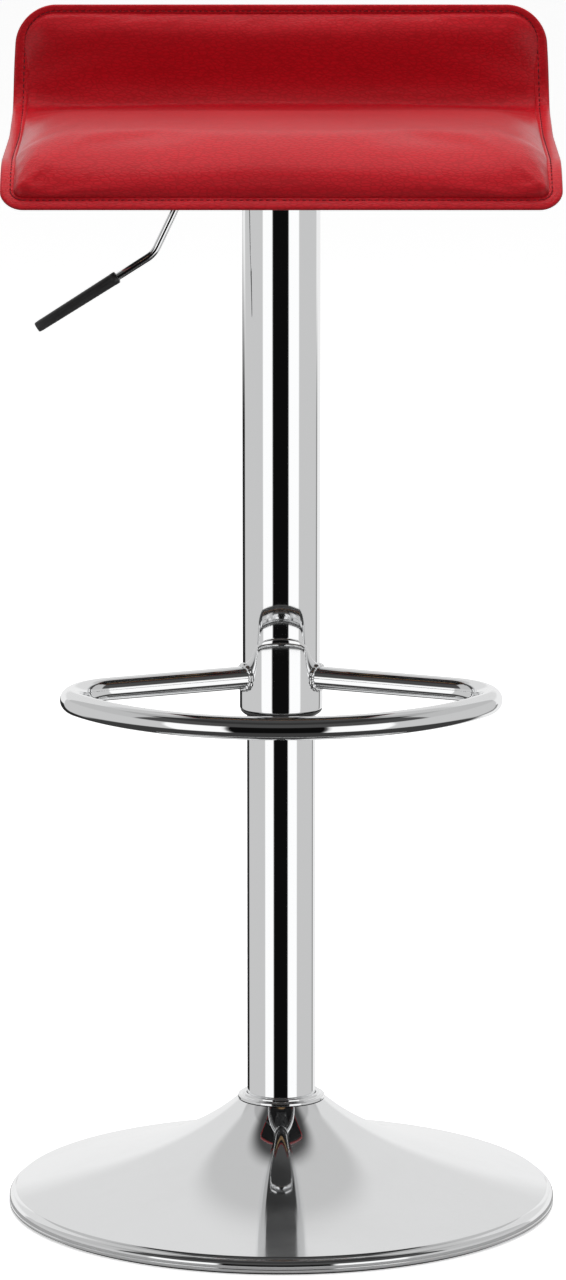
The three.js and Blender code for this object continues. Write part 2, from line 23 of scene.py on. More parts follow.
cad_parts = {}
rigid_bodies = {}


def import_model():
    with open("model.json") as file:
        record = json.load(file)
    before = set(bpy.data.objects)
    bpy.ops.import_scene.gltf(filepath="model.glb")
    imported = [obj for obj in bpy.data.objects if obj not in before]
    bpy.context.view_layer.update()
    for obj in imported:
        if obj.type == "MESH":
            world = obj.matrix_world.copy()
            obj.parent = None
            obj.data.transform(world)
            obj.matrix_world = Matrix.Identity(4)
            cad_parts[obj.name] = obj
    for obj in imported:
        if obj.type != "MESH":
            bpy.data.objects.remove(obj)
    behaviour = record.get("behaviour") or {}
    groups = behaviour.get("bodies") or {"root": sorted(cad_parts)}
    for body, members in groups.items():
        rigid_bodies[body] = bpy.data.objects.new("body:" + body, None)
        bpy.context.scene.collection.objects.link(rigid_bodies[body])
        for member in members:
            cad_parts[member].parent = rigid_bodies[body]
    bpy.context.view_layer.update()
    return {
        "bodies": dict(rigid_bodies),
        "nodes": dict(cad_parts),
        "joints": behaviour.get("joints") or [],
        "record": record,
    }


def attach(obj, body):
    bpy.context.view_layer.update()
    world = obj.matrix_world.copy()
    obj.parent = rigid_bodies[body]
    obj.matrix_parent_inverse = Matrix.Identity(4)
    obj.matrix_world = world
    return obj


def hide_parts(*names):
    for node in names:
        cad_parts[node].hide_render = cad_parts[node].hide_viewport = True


LOG = logging.getLogger("stool")
MM = 0.001

Colour = tuple[float, float, float]
Point2 = tuple[float, float]


class Body(Enum):
    """The bodies that new pieces ride on."""

    BASE = "base"
    SEAT = "seat"
    LEVER = "lever"


class Slot(Enum):
    """The record's material slots."""

    CHROME = "chrome"
    BARE_STEEL = "bare_steel"
    BLACK_STEEL = "black_steel"
    BLACK_RUBBER = "black_rubber"
    BLACK_PLASTIC = "black_plastic"
    NYLON = "nylon"
    PLYWOOD = "plywood"
    FOAM = "foam"
    LEATHERETTE = "red_leatherette"
    BLACK_CLOTH = "black_cloth"


# ---- Shader node helpers ----


@dataclass
class NodeSheet:
    """A node tree with short calls for adding and joining nodes.

    Attributes:
        tree: the material, world or group tree that is being filled.
    """

    tree: bpy.types.NodeTree

    def add(self, kind: str, **settings: object) -> bpy.types.Node:
        """Adds a node.

        Args:
            kind: the node's type name without the ShaderNode prefix.
            **settings: node properties to set.

        Returns:
            The new node.
        """
        node = self.tree.nodes.new("ShaderNode" + kind)
        for key, value in settings.items():
            setattr(node, key, value)
        return node

    def link(self, source: bpy.types.NodeSocket, target: bpy.types.NodeSocket) -> None:
        """Joins an output socket to an input socket."""
        self.tree.links.new(source, target)

    def feed(self, target: bpy.types.NodeSocket, value: object) -> None:
        """Links a socket to the target, or sets the target's own value.

        Args:
            target: the input socket.
            value: an output socket, or a plain number or colour.
        """
        if isinstance(value, bpy.types.NodeSocket):
            self.link(value, target)
        else:
            target.default_value = value

    def math(self, operation: str, first: object, second: object = 0.0) -> bpy.types.NodeSocket:
        """Adds a Math node.

        Args:
            operation: the Math node's operation.
            first: socket or number.
            second: socket or number.

        Returns:
            The node's output.
        """
        node = self.add("Math", operation=operation)
        self.feed(node.inputs[0], first)
        self.feed(node.inputs[1], second)
        return node.outputs[0]

    def ramp(self, value: object, low: float, high: float, to: Point2 = (0.0, 1.0)) -> bpy.types.NodeSocket:
        """Maps a value smoothly from one range to another.

        Args:
            value: the socket to map.
            low: the value that gives to[0].
            high: the value that gives to[1].
            to: the two ends of the output.

        Returns:
            The mapped value.
        """
        node = self.add("MapRange", interpolation_type="SMOOTHSTEP")
        if low > high:
            low, high, to = high, low, (to[1], to[0])
        self.feed(node.inputs["Value"], value)
        node.inputs["From Min"].default_value = low
        node.inputs["From Max"].default_value = high
        node.inputs["To Min"].default_value = to[0]
        node.inputs["To Max"].default_value = to[1]
        return node.outputs["Result"]

    def mix(self, factor: object, first: object, second: object) -> bpy.types.NodeSocket:
        """Mixes two colours.

        Args:
            factor: 0 gives the first colour and 1 the second.
            first: socket or (r, g, b, 1).
            second: socket or (r, g, b, 1).

        Returns:
            The mixed colour.
        """
        node = self.add("Mix", data_type="RGBA")
        self.feed(node.inputs[0], factor)
        self.feed(node.inputs[6], first)
        self.feed(node.inputs[7], second)
        return node.outputs[2]

    def place(self) -> bpy.types.NodeSocket:
        """The shaded point in the object's own space."""
        return self.add("TexCoord").outputs["Object"]

    def noise(self, place: bpy.types.NodeSocket, scale: object, detail: float = 2.0) -> bpy.types.Node:
        """Adds a Noise Texture node.

        Args:
            place: where to read the noise.
            scale: socket or number.
            detail: the number of finer layers.

        Returns:
            The node.
        """
        node = self.add("TexNoise")
        self.link(place, node.inputs["Vector"])
        self.feed(node.inputs["Scale"], scale)
        node.inputs["Detail"].default_value = detail
        return node


def rgba(colour: Colour) -> tuple[float, float, float, float]:
    """Gives a colour its alpha of 1."""
    return (*colour, 1.0)


def shaded(colour: Colour, by: float) -> tuple[float, float, float, float]:
    """Scales a colour's brightness."""
    return rgba(tuple(channel * by for channel in colour))


class Effects:
    """Shader node groups that several finishes share, each built once."""

    def __init__(self) -> None:
        """Builds every group."""
        self.wiping = self._wiping_marks()
        self.wear = self._edge_wear()
        self.dust = self._settled_dust()
        self.grain = self._leather_grain()
        self.mottle = self._mottle()

    @staticmethod
    def _start(
        name: str, inputs: dict[str, float], outputs: Sequence[str]
    ) -> tuple[NodeSheet, bpy.types.Node, bpy.types.Node]:
        """Starts a group whose sockets are all plain values.

        Args:
            name: the group's name.
            inputs: input names and their defaults.
            outputs: output names.

        Returns:
            The sheet, the group's input node and its output node.
        """
        tree = bpy.data.node_groups.new(name, "ShaderNodeTree")
        for label, default in inputs.items():
            socket = tree.interface.new_socket(label, in_out="INPUT", socket_type="NodeSocketFloat")
            socket.default_value = default
        for label in outputs:
            tree.interface.new_socket(label, in_out="OUTPUT", socket_type="NodeSocketFloat")
        sheet = NodeSheet(tree)
        return sheet, tree.nodes.new("NodeGroupInput"), tree.nodes.new("NodeGroupOutput")

    def _wiping_marks(self) -> bpy.types.NodeTree:
        """Roughness that drifts between two values in soft patches, with fine streaks in it.

        Returns:
            The group, with one output, Roughness.
        """
        sheet, given, result = self._start(
            "wiping_marks", {"Scale": 14.0, "Clean": 0.03, "Smeared": 0.09}, ["Roughness"]
        )
        place = sheet.place()
        patches = sheet.noise(place, given.outputs["Scale"], 3.0)
        stretch = sheet.add("Mapping")
        stretch.inputs["Scale"].default_value = (1.0, 1.0, 7.0)
        sheet.link(place, stretch.inputs["Vector"])
        streaks = sheet.noise(stretch.outputs["Vector"], 90.0)
        smear = sheet.ramp(patches.outputs["Fac"], 0.42, 0.72)
        fine = sheet.ramp(streaks.outputs["Fac"], 0.35, 0.75, (0.6, 1.0))
        share = sheet.math("MULTIPLY", smear, fine)
        span = sheet.math("SUBTRACT", given.outputs["Smeared"], given.outputs["Clean"])
        sheet.link(
            sheet.math("ADD", sheet.math("MULTIPLY", span, share), given.outputs["Clean"]),
            result.inputs["Roughness"],
        )
        return sheet.tree

    def _edge_wear(self) -> bpy.types.NodeTree:
        """A mask of rubbed outer edges, broken up by noise.

        Returns:
            The group, with one output, Mask.
        """
        sheet, given, result = self._start("edge_wear", {"Amount": 1.0, "Scale": 60.0}, ["Mask"])
        edge = sheet.ramp(sheet.add("NewGeometry").outputs["Pointiness"], 0.53, 0.62)
        chips = sheet.noise(sheet.place(), given.outputs["Scale"], 6.0)
        broken = sheet.ramp(chips.outputs["Fac"], 0.45, 0.6)
        worn = sheet.math("MULTIPLY", sheet.math("MULTIPLY", edge, broken), given.outputs["Amount"])
        sheet.link(worn, result.inputs["Mask"])
        return sheet.tree

    def _settled_dust(self) -> bpy.types.NodeTree:
        """A mask of dust on faces that look up, in uneven patches.

        Returns:
            The group, with one output, Mask.
        """
        sheet, given, result = self._start("settled_dust", {"Amount": 0.1, "Scale": 25.0}, ["Mask"])
        normal = sheet.add("SeparateXYZ")
        sheet.link(sheet.add("NewGeometry").outputs["Normal"], normal.inputs[0])
        facing_up = sheet.ramp(normal.outputs["Z"], 0.6, 1.0)
        patches = sheet.noise(sheet.place(), given.outputs["Scale"], 5.0)
        uneven = sheet.ramp(patches.outputs["Fac"], 0.4, 0.75)
        mask = sheet.math("MULTIPLY", sheet.math("MULTIPLY", facing_up, uneven), given.outputs["Amount"])
        sheet.link(mask, result.inputs["Mask"])
        return sheet.tree

    def _leather_grain(self) -> bpy.types.NodeTree:
        """Embossed grain: small pebbles drawn out across the seat, with finer creases between them.

        Returns:
            The group, with outputs Height and Hollows.
        """
        sheet, given, result = self._start(
            "leather_grain", {"Cells": 620.0, "Drawn Out": 0.4}, ["Height", "Hollows"]
        )
        across = sheet.add("CombineXYZ")
        sheet.link(given.outputs["Drawn Out"], across.inputs["X"])
        across.inputs["Y"].default_value = 1.0
        across.inputs["Z"].default_value = 1.0
        stretch = sheet.add("VectorMath", operation="MULTIPLY")
        sheet.link(sheet.place(), stretch.inputs[0])
        sheet.link(across.outputs[0], stretch.inputs[1])
        pebbles = sheet.add("TexVoronoi", feature="DISTANCE_TO_EDGE")
        sheet.link(stretch.outputs[0], pebbles.inputs["Vector"])
        sheet.link(given.outputs["Cells"], pebbles.inputs["Scale"])
        folds = sheet.noise(stretch.outputs[0], 240.0, 6.0)
        folds.inputs["Roughness"].default_value = 0.65
        raised = sheet.ramp(pebbles.outputs["Distance"], 0.0, 0.22)
        height = sheet.math("ADD", sheet.math("MULTIPLY", raised, 0.5), folds.outputs["Fac"])
        sheet.link(height, result.inputs["Height"])
        sheet.link(sheet.math("SUBTRACT", 1.0, raised), result.inputs["Hollows"])
        return sheet.tree

    def _mottle(self) -> bpy.types.NodeTree:
        """Two scales of soft noise for uneven colour and a fine surface height.

        Returns:
            The group, with outputs Tone and Height.
        """
        sheet, given, result = self._start("mottle", {"Broad": 12.0, "Fine": 900.0}, ["Tone", "Height"])
        place = sheet.place()
        broad = sheet.noise(place, given.outputs["Broad"], 4.0)
        fine = sheet.noise(place, given.outputs["Fine"], 4.0)
        sheet.link(sheet.ramp(broad.outputs["Fac"], 0.3, 0.7), result.inputs["Tone"])
        sheet.link(fine.outputs["Fac"], result.inputs["Height"])
        return sheet.tree


class Finish:
    """A material with its Principled shader, ready for a finish to connect its effects."""

    def __init__(self, name: str, effects: Effects) -> None:
        """Starts an empty finish.

        Args:
            name: the material's name.
            effects: the shared node groups.
        """
        self.effects = effects
        self.material = bpy.data.materials.new(name)
        self.material.use_nodes = True
        self.sheet = NodeSheet(self.material.node_tree)
        self.shader = self.material.node_tree.nodes["Principled BSDF"]

    def set(self, **values: object) -> None:
        """Sets or links shader sockets, with underscores standing for spaces."""
        for label, value in values.items():
            self.sheet.feed(self.shader.inputs[label.replace("_", " ")], value)

    def effect(self, tree: bpy.types.NodeTree, **values: float) -> bpy.types.Node:
        """Places a shared group.

        Args:
            tree: the group.
            **values: its input values, with underscores standing for spaces.

        Returns:
            The group node.
        """
        node = self.sheet.add("Group")
        node.node_tree = tree
        for label, value in values.items():
            node.inputs[label.replace("_", " ")].default_value = value
        return node

    def bump(self, height: bpy.types.NodeSocket, depth: float, strength: float = 1.0) -> None:
        """Feeds a height into the shader's normal.

        Args:
            height: the height socket.
            depth: how deep the relief is, in millimetres.
            strength: how much of the bump shows.
        """
        node = self.sheet.add("Bump")
        node.inputs["Strength"].default_value = strength
        node.inputs["Distance"].default_value = depth * MM
        self.sheet.link(height, node.inputs["Height"])
        self.sheet.link(node.outputs["Normal"], self.shader.inputs["Normal"])


# ---- Finishes ----


@dataclass(frozen=True)
class ChromePlate:
    """Bright chrome over polished steel, with wiping marks and a trace of dust.

    Attributes:
        colour: reflection colour of the plate.
        clean: roughness where it is freshly wiped.
        smeared: roughness in the smears.
        dust: how much dust lies on upward faces.
        dust_colour: colour of the dust.
    """

    colour: Colour = (0.93, 0.935, 0.94)
    clean: float = 0.025
    smeared: float = 0.06
    dust: float = 0.05
    dust_colour: Colour = (0.62, 0.61, 0.59)

    def material(self, name: str, effects: Effects) -> bpy.types.Material:
        """Makes the material.

        Args:
            name: the material's name.
            effects: the shared node groups.

        Returns:
            The material.
        """
        finish = Finish(name, effects)
        dust = finish.effect(effects.dust, Amount=self.dust, Scale=18.0).outputs["Mask"]
        marks = finish.effect(effects.wiping, Scale=9.0, Clean=self.clean, Smeared=self.smeared)
        finish.set(
            Base_Color=finish.sheet.mix(dust, rgba(self.colour), rgba(self.dust_colour)),
            Metallic=finish.sheet.math("SUBTRACT", 1.0, dust),
            Roughness=finish.sheet.math("ADD", marks.outputs["Roughness"], dust),
        )
        return finish.material


@dataclass(frozen=True)
class MachinedSteel:
    """Bare or zinc-plated steel, ground to a satin finish.

    Attributes:
        colour: reflection colour.
        clean: lowest roughness.
        smeared: highest roughness.
    """

    colour: Colour = (0.56, 0.57, 0.58)
    clean: float = 0.24
    smeared: float = 0.42

    def material(self, name: str, effects: Effects) -> bpy.types.Material:
        """Makes the material.

        Args:
            name: the material's name.
            effects: the shared node groups.

        Returns:
            The material.
        """
        finish = Finish(name, effects)
        marks = finish.effect(effects.wiping, Scale=40.0, Clean=self.clean, Smeared=self.smeared)
        spots = finish.effect(effects.mottle, Broad=60.0, Fine=1600.0)
        finish.set(
            Base_Color=finish.sheet.mix(
                spots.outputs["Tone"], shaded(self.colour, 0.8), rgba(self.colour)
            ),
            Metallic=1.0,
            Roughness=marks.outputs["Roughness"],
        )
        finish.bump(spots.outputs["Height"], 0.02)
        return finish.material


@dataclass(frozen=True)
class CoatedMetal:
    """Powder-coated or painted steel, rubbed through to grey along its edges.

    Attributes:
        colour: the coat's colour.
        bare: the metal's colour where the coat has gone.
        roughness: the coat's roughness.
        pebble: depth of the coat's orange-peel texture, in millimetres.
        dust_colour: colour of the dust.
    """

    colour: Colour = (0.016, 0.017, 0.018)
    bare: Colour = (0.42, 0.42, 0.43)
    roughness: float = 0.42
    pebble: float = 0.05
    dust_colour: Colour = (0.16, 0.15, 0.14)

    def material(self, name: str, effects: Effects) -> bpy.types.Material:
        """Makes the material.

        Args:
            name: the material's name.
            effects: the shared node groups.

        Returns:
            The material.
        """
        finish = Finish(name, effects)
        worn = finish.effect(effects.wear, Amount=0.55, Scale=140.0).outputs["Mask"]
        dust = finish.effect(effects.dust, Amount=0.25, Scale=40.0).outputs["Mask"]
        peel = finish.effect(effects.mottle, Broad=20.0, Fine=1100.0)
        coat = finish.sheet.mix(
            peel.outputs["Tone"], shaded(self.colour, 0.8), shaded(self.colour, 1.3)
        )
        dusty = finish.sheet.mix(dust, coat, rgba(self.dust_colour))
        finish.set(
            Base_Color=finish.sheet.mix(worn, dusty, rgba(self.bare)),
            Metallic=worn,
            Roughness=finish.sheet.ramp(
                peel.outputs["Tone"], 0.0, 1.0, (self.roughness, self.roughness + 0.1)
            ),
        )
        finish.bump(peel.outputs["Height"], self.pebble)
        return finish.material


@dataclass(frozen=True)
class MouldedPolymer:
    """Moulded rubber, plastic or nylon with a fine sprayed texture and scuffed edges.

    Attributes:
        colour: the polymer's colour.
        scuffed: its colour where it has rubbed.
        low: lowest roughness.
        high: highest roughness.
        texture: depth of the mould's texture, in millimetres.
        dust_colour: colour of the dust.
    """

    colour: Colour
    scuffed: Colour
    low: float
    high: float
    texture: float = 0.04
    dust_colour: Colour = (0.3, 0.29, 0.27)

    def material(self, name: str, effects: Effects) -> bpy.types.Material:
        """Makes the material.

        Args:
            name: the material's name.
            effects: the shared node groups.

        Returns:
            The material.
        """
        finish = Finish(name, effects)
        worn = finish.effect(effects.wear, Amount=0.5, Scale=90.0).outputs["Mask"]
        dust = finish.effect(effects.dust, Amount=0.2, Scale=60.0).outputs["Mask"]
        mottle = finish.effect(effects.mottle, Broad=35.0, Fine=1400.0)
        body = finish.sheet.mix(
            mottle.outputs["Tone"], shaded(self.colour, 0.85), shaded(self.colour, 1.15)
        )
        dusty = finish.sheet.mix(dust, body, rgba(self.dust_colour))
        finish.set(
            Base_Color=finish.sheet.mix(worn, dusty, rgba(self.scuffed)),
            Roughness=finish.sheet.ramp(mottle.outputs["Tone"], 0.0, 1.0, (self.low, self.high)),
        )
        finish.bump(mottle.outputs["Height"], self.texture)
        return finish.material


@dataclass(frozen=True)
class BirchPly:
    """Bent plywood, with growth lines along the face.

    Attributes:
        pale: colour between the growth lines.
        dark: colour of the growth lines.
    """

    pale: Colour = (0.60, 0.40, 0.20)
    dark: Colour = (0.38, 0.22, 0.10)

    def material(self, name: str, effects: Effects) -> bpy.types.Material:
        """Makes the material.

        Args:
            name: the material's name.
            effects: the shared node groups.

        Returns:
            The material.
        """
        finish = Finish(name, effects)
        sheet = finish.sheet
        stretch = sheet.add("Mapping")
        stretch.inputs["Scale"].default_value = (0.12, 1.0, 1.0)
        sheet.link(sheet.place(), stretch.inputs["Vector"])
        rings = sheet.add("TexWave", wave_type="BANDS", bands_direction="Y")
        rings.inputs["Scale"].default_value = 55.0
        rings.inputs["Distortion"].default_value = 5.0
        rings.inputs["Detail"].default_value = 3.0
        sheet.link(stretch.outputs["Vector"], rings.inputs["Vector"])
        mottle = finish.effect(effects.mottle, Broad=25.0, Fine=700.0)
        finish.set(
            Base_Color=sheet.mix(rings.outputs["Fac"], rgba(self.dark), rgba(self.pale)),
            Roughness=sheet.ramp(mottle.outputs["Tone"], 0.0, 1.0, (0.62, 0.8)),
        )
        finish.bump(mottle.outputs["Height"], 0.08)
        return finish.material


@dataclass(frozen=True)
class Leatherette:
    """Red coated fabric: embossed grain, a satin sheen, and colour that deepens in the hollows.

    Attributes:
        colour: the coat's colour.
        hollow: its colour in the grain's hollows.
        low: lowest roughness.
        high: highest roughness.
        cells: grain cells to a metre.
        relief: depth of the grain, in millimetres.
    """

    colour: Colour = (0.44, 0.0045, 0.0115)
    hollow: Colour = (0.27, 0.003, 0.006)
    low: float = 0.36
    high: float = 0.46
    cells: float = 450.0
    relief: float = 0.12

    def material(self, name: str, effects: Effects) -> bpy.types.Material:
        """Makes the material.

        Args:
            name: the material's name.
            effects: the shared node groups.

        Returns:
            The material.
        """
        finish = Finish(name, effects)
        sheet = finish.sheet
        grain = finish.effect(effects.grain, Cells=self.cells, Drawn_Out=0.45)
        mottle = finish.effect(effects.mottle, Broad=9.0, Fine=1500.0)
        wear = finish.effect(effects.wear, Amount=0.18, Scale=45.0)
        dye = sheet.mix(mottle.outputs["Tone"], shaded(self.colour, 0.92), shaded(self.colour, 1.06))
        deep = sheet.mix(
            sheet.math("MULTIPLY", grain.outputs["Hollows"], 0.55), dye, rgba(self.hollow)
        )
        rubbed = sheet.mix(wear.outputs["Mask"], deep, shaded(self.colour, 1.35))
        marks = finish.effect(effects.wiping, Scale=7.0, Clean=self.low, Smeared=self.high)
        finish.set(
            Base_Color=rubbed,
            Roughness=marks.outputs["Roughness"],
            Specular_IOR_Level=0.34,
            Sheen_Weight=0.1,
            Sheen_Roughness=0.4,
            Coat_Weight=0.04,
            Coat_Roughness=0.3,
        )
        finish.bump(grain.outputs["Height"], self.relief)
        return finish.material


@dataclass(frozen=True)
class DustCloth:
    """Black felted cloth that closes the seat's underside, with loose fibres in its face.

    Attributes:
        colour: the cloth's colour.
        lint: colour of the raised fibres.
    """

    colour: Colour = (0.010, 0.010, 0.011)
    lint: Colour = (0.035, 0.035, 0.036)

    def material(self, name: str, effects: Effects) -> bpy.types.Material:
        """Makes the material.

        Args:
            name: the material's name.
            effects: the shared node groups.

        Returns:
            The material.
        """
        finish = Finish(name, effects)
        felt = finish.effect(effects.mottle, Broad=420.0, Fine=2600.0)
        finish.set(
            Base_Color=finish.sheet.mix(felt.outputs["Tone"], rgba(self.colour), rgba(self.lint)),
            Roughness=finish.sheet.ramp(felt.outputs["Tone"], 0.0, 1.0, (0.82, 0.96)),
            Specular_IOR_Level=0.2,
        )
        finish.bump(felt.outputs["Height"], 0.2)
        return finish.material


@dataclass(frozen=True)
class SewingThread:
    """Bonded thread of two plies twisted together.

    Attributes:
        colour: the thread's colour.
    """

    colour: Colour = (0.085, 0.004, 0.008)

    def material(self, name: str, effects: Effects) -> bpy.types.Material:
        """Makes the material.

        Args:
            name: the material's name.
            effects: the shared node groups.

        Returns:
            The material.
        """
        finish = Finish(name, effects)
        mottle = finish.effect(effects.mottle, Broad=300.0, Fine=5200.0)
        finish.set(
            Base_Color=finish.sheet.mix(
                mottle.outputs["Tone"], shaded(self.colour, 0.7), shaded(self.colour, 1.3)
            ),
            Roughness=finish.sheet.ramp(mottle.outputs["Tone"], 0.0, 1.0, (0.5, 0.7)),
        )
        finish.bump(mottle.outputs["Height"], 0.05)
        return finish.material


class Finishes:
    """Every finish on the stool, made once, by material slot."""

    def __init__(self) -> None:
        """Makes the materials."""
        effects = Effects()
        recipes = {
            Slot.CHROME: ChromePlate(),
            Slot.BARE_STEEL: MachinedSteel(),
            Slot.BLACK_STEEL: CoatedMetal(),
            Slot.BLACK_RUBBER: MouldedPolymer((0.011, 0.011, 0.012), (0.05, 0.05, 0.05), 0.66, 0.8, 0.06),
            Slot.BLACK_PLASTIC: MouldedPolymer((0.045, 0.045, 0.046), (0.12, 0.12, 0.12), 0.3, 0.4, 0.02),
            Slot.NYLON: MouldedPolymer((0.66, 0.64, 0.57), (0.75, 0.74, 0.70), 0.42, 0.55, 0.03),
            Slot.PLYWOOD: BirchPly(),
            Slot.FOAM: MouldedPolymer((0.72, 0.62, 0.34), (0.78, 0.70, 0.45), 0.85, 0.95, 0.3),
            Slot.LEATHERETTE: Leatherette(),
            Slot.BLACK_CLOTH: DustCloth(),
        }
        self.by_slot = {slot: recipe.material(slot.value, effects) for slot, recipe in recipes.items()}
        self.thread = SewingThread().material("dark_red_thread", effects)
        self.welded = ChromePlate(clean=0.09, smeared=0.2, dust=0.08).material("weld_chrome", effects)

    def dress(self, obj: bpy.types.Object, slot: Slot, material: bpy.types.Material | None = None) -> None:
        """Gives an object its finish.

        Args:
            obj: the object to dress.
            slot: the record's slot that it belongs to.
            material: another material than the slot's own.
        """
        obj.data.materials.clear()
        obj.data.materials.append(material or self.by_slot[slot])


# ---- Mesh helpers ----


def piece(
    name: str,
    points: Sequence[Sequence[float]],
    faces: Sequence[Sequence[int]],
    crease_deg: float = 38.0,
) -> bpy.types.Object:
    """Makes a mesh object from points in millimetres, smooth except over sharp creases.

    Args:
        name: the object's name.
        points: vertices in millimetres.
        faces: vertex indices of each face.
        crease_deg: edges that turn by more than this stay sharp.

    Returns:
        The object, linked to the scene.
    """
    mesh = bpy.data.meshes.new(name)
    mesh.from_pydata([[value * MM for value in point] for point in points], [], faces)
    build = bmesh.new()
    build.from_mesh(mesh)
    bmesh.ops.remove_doubles(build, verts=build.verts, dist=1e-7)
    bmesh.ops.recalc_face_normals(build, faces=build.faces)
    build.to_mesh(mesh)
    build.free()
    mesh.shade_smooth()
    mesh.set_sharp_from_angle(angle=math.radians(crease_deg))
    obj = bpy.data.objects.new(name, mesh)
    bpy.context.scene.collection.objects.link(obj)
    return obj


def rounded(corners: Sequence[tuple[float, float, float]], steps: int = 5) -> list[Point2]:
    """Rounds the corners of a closed outline.

    Args:
        corners: (x, y, radius) of each corner in order; a radius of 0 keeps it sharp.
        steps: straight pieces in each rounded corner.

    Returns:
        The outline's points.
    """
    outline: list[Point2] = []
    count = len(corners)
    for index, (x, y, radius) in enumerate(corners):
        here = Vector((x, y))
        back = Vector(corners[index - 1][:2]) - here
        ahead = Vector(corners[(index + 1) % count][:2]) - here
        half = back.angle(ahead) / 2.0 if back.length and ahead.length else math.pi / 2.0
        if radius <= 0 or half > math.radians(89):
            outline.append((x, y))
            continue
        reach = min(radius / math.tan(half), 0.48 * back.length, 0.48 * ahead.length)
        bend = reach * math.tan(half)
        start = here + back.normalized() * reach
        end = here + ahead.normalized() * reach
        centre = here + (back.normalized() + ahead.normalized()).normalized() * (bend / math.sin(half))
        turn = (start - centre).angle_signed(end - centre)
        for step in range(steps + 1):
            angle = -turn * step / steps
            arm = start - centre
            outline.append(
                (
                    centre.x + arm.x * math.cos(angle) - arm.y * math.sin(angle),
                    centre.y + arm.x * math.sin(angle) + arm.y * math.cos(angle),
                )
            )
    return outline


def turned(name: str, outline: Sequence[Point2], segments: int = 160) -> bpy.types.Object:
    """Turns a closed outline of (radius, height) about the Z axis.

    Args:
        name: the object's name.
        outline: the closed outline.
        segments: steps round the axis.

    Returns:
        The turned piece.
    """
    points = []
    for step in range(segments):
        angle = 2.0 * math.pi * step / segments
        points += [(r * math.cos(angle), r * math.sin(angle), z) for r, z in outline]
    size = len(outline)
    faces = []
    for step in range(segments):
        ahead = (step + 1) % segments
        for index in range(size):
            after = (index + 1) % size
            faces.append(
                (step * size + index, ahead * size + index, ahead * size + after, step * size + after)
            )
    return piece(name, points, faces)


def lofted(
    name: str,
    rings: Sequence[Sequence[Sequence[float]]],
    capped: bool = True,
    looped: bool = False,
    crease_deg: float = 38.0,
) -> bpy.types.Object:
    """Skins a series of closed rings that all have the same number of points.

    Args:
        name: the object's name.
        rings: the rings in order, in millimetres.
        capped: close the two ends with a face.
        looped: join the last ring to the first instead.
        crease_deg: edges that turn by more than this stay sharp.

    Returns:
        The skinned piece.
    """
    size = len(rings[0])
    points = [point for ring in rings for point in ring]
    faces: list[Sequence[int]] = []
    pairs = len(rings) if looped else len(rings) - 1
    for row in range(pairs):
        here = row * size
        there = ((row + 1) % len(rings)) * size
        for index in range(size):
            after = (index + 1) % size
            faces.append((here + index, here + after, there + after, there + index))
    if capped and not looped:
        faces.append(list(range(size))[::-1])
        faces.append([(len(rings) - 1) * size + index for index in range(size)])
    return piece(name, points, faces, crease_deg)


def ring_about(centre: Vector, axis: Vector, side: Vector, radius: float, sides: int) -> list[Vector]:
    """Gives the points of a circle.

    Args:
        centre: the circle's centre.
        axis: the direction it faces.
        side: a direction across the axis, where the circle starts.
        radius: the circle's radius.
        sides: the number of points.

    Returns:
        The points.
    """
    up = axis.cross(side).normalized()
    return [
        centre
        + side * (radius * math.cos(2 * math.pi * step / sides))
        + up * (radius * math.sin(2 * math.pi * step / sides))
        for step in range(sides)
    ]


def swept(
    name: str,
    path: Sequence[Vector],
    radius: Callable[[float], float],
    sides: int = 32,
    across: Vector = Vector((0.0, 0.0, 1.0)),
) -> bpy.types.Object:
    """Sweeps a circle along a flat path.

    Args:
        name: the object's name.
        path: points of the path in millimetres.
        radius: the radius at a share of the path from 0 to 1.
        sides: points round the circle.
        across: the normal of the plane that the path lies in.

    Returns:
        The swept piece.
    """
    lengths = [0.0]
    for before, after in zip(path, path[1:]):
        lengths.append(lengths[-1] + (after - before).length)
    rings = []
    for index, point in enumerate(path):
        back = path[max(index - 1, 0)]
        ahead = path[min(index + 1, len(path) - 1)]
        axis = (ahead - back).normalized()
        rings.append(ring_about(point, axis, across, radius(lengths[index] / lengths[-1]), sides))
    return lofted(name, rings)


def bent_path(corners: Sequence[Vector], bend: float, step_deg: float = 6.0) -> list[Vector]:
    """Rounds the inner corners of a path.

    Args:
        corners: the path's corners.
        bend: radius of each bend.
        step_deg: turn of each straight piece of a bend.

    Returns:
        The path's points.
    """
    path = [corners[0].copy()]
    for index in range(1, len(corners) - 1):
        here = corners[index]
        back = (corners[index - 1] - here).normalized()
        ahead = (corners[index + 1] - here).normalized()
        half = back.angle(ahead) / 2.0
        centre = here + (back + ahead).normalized() * (bend / math.sin(half))
        start = here + back * (bend / math.tan(half)) - centre
        turn = math.pi - 2.0 * half
        steps = max(2, math.ceil(math.degrees(turn) / step_deg))
        for step in range(steps + 1):
            angle = turn * step / steps
            path.append(centre + start * math.cos(angle) - back * (bend * math.sin(angle)))
    path.append(corners[-1].copy())
    return path


def mount(
    obj: bpy.types.Object, finishes: Finishes, body: Body, slot: Slot, *nodes: str
) -> bpy.types.Object:
    """Dresses a new piece, puts it on its body and lets it stand for CAD nodes.

    Args:
        obj: the new piece.
        finishes: the stool's finishes.
        body: the body that it rides on.
        slot: its material slot.
        *nodes: the CAD nodes that it replaces.

    Returns:
        The same piece.
    """
    finishes.dress(obj, slot)
    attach(obj, body.value)
    if nodes:
        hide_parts(*nodes)
    LOG.info("%s: %d faces on %s", obj.name, len(obj.data.polygons), body.value)
    return obj


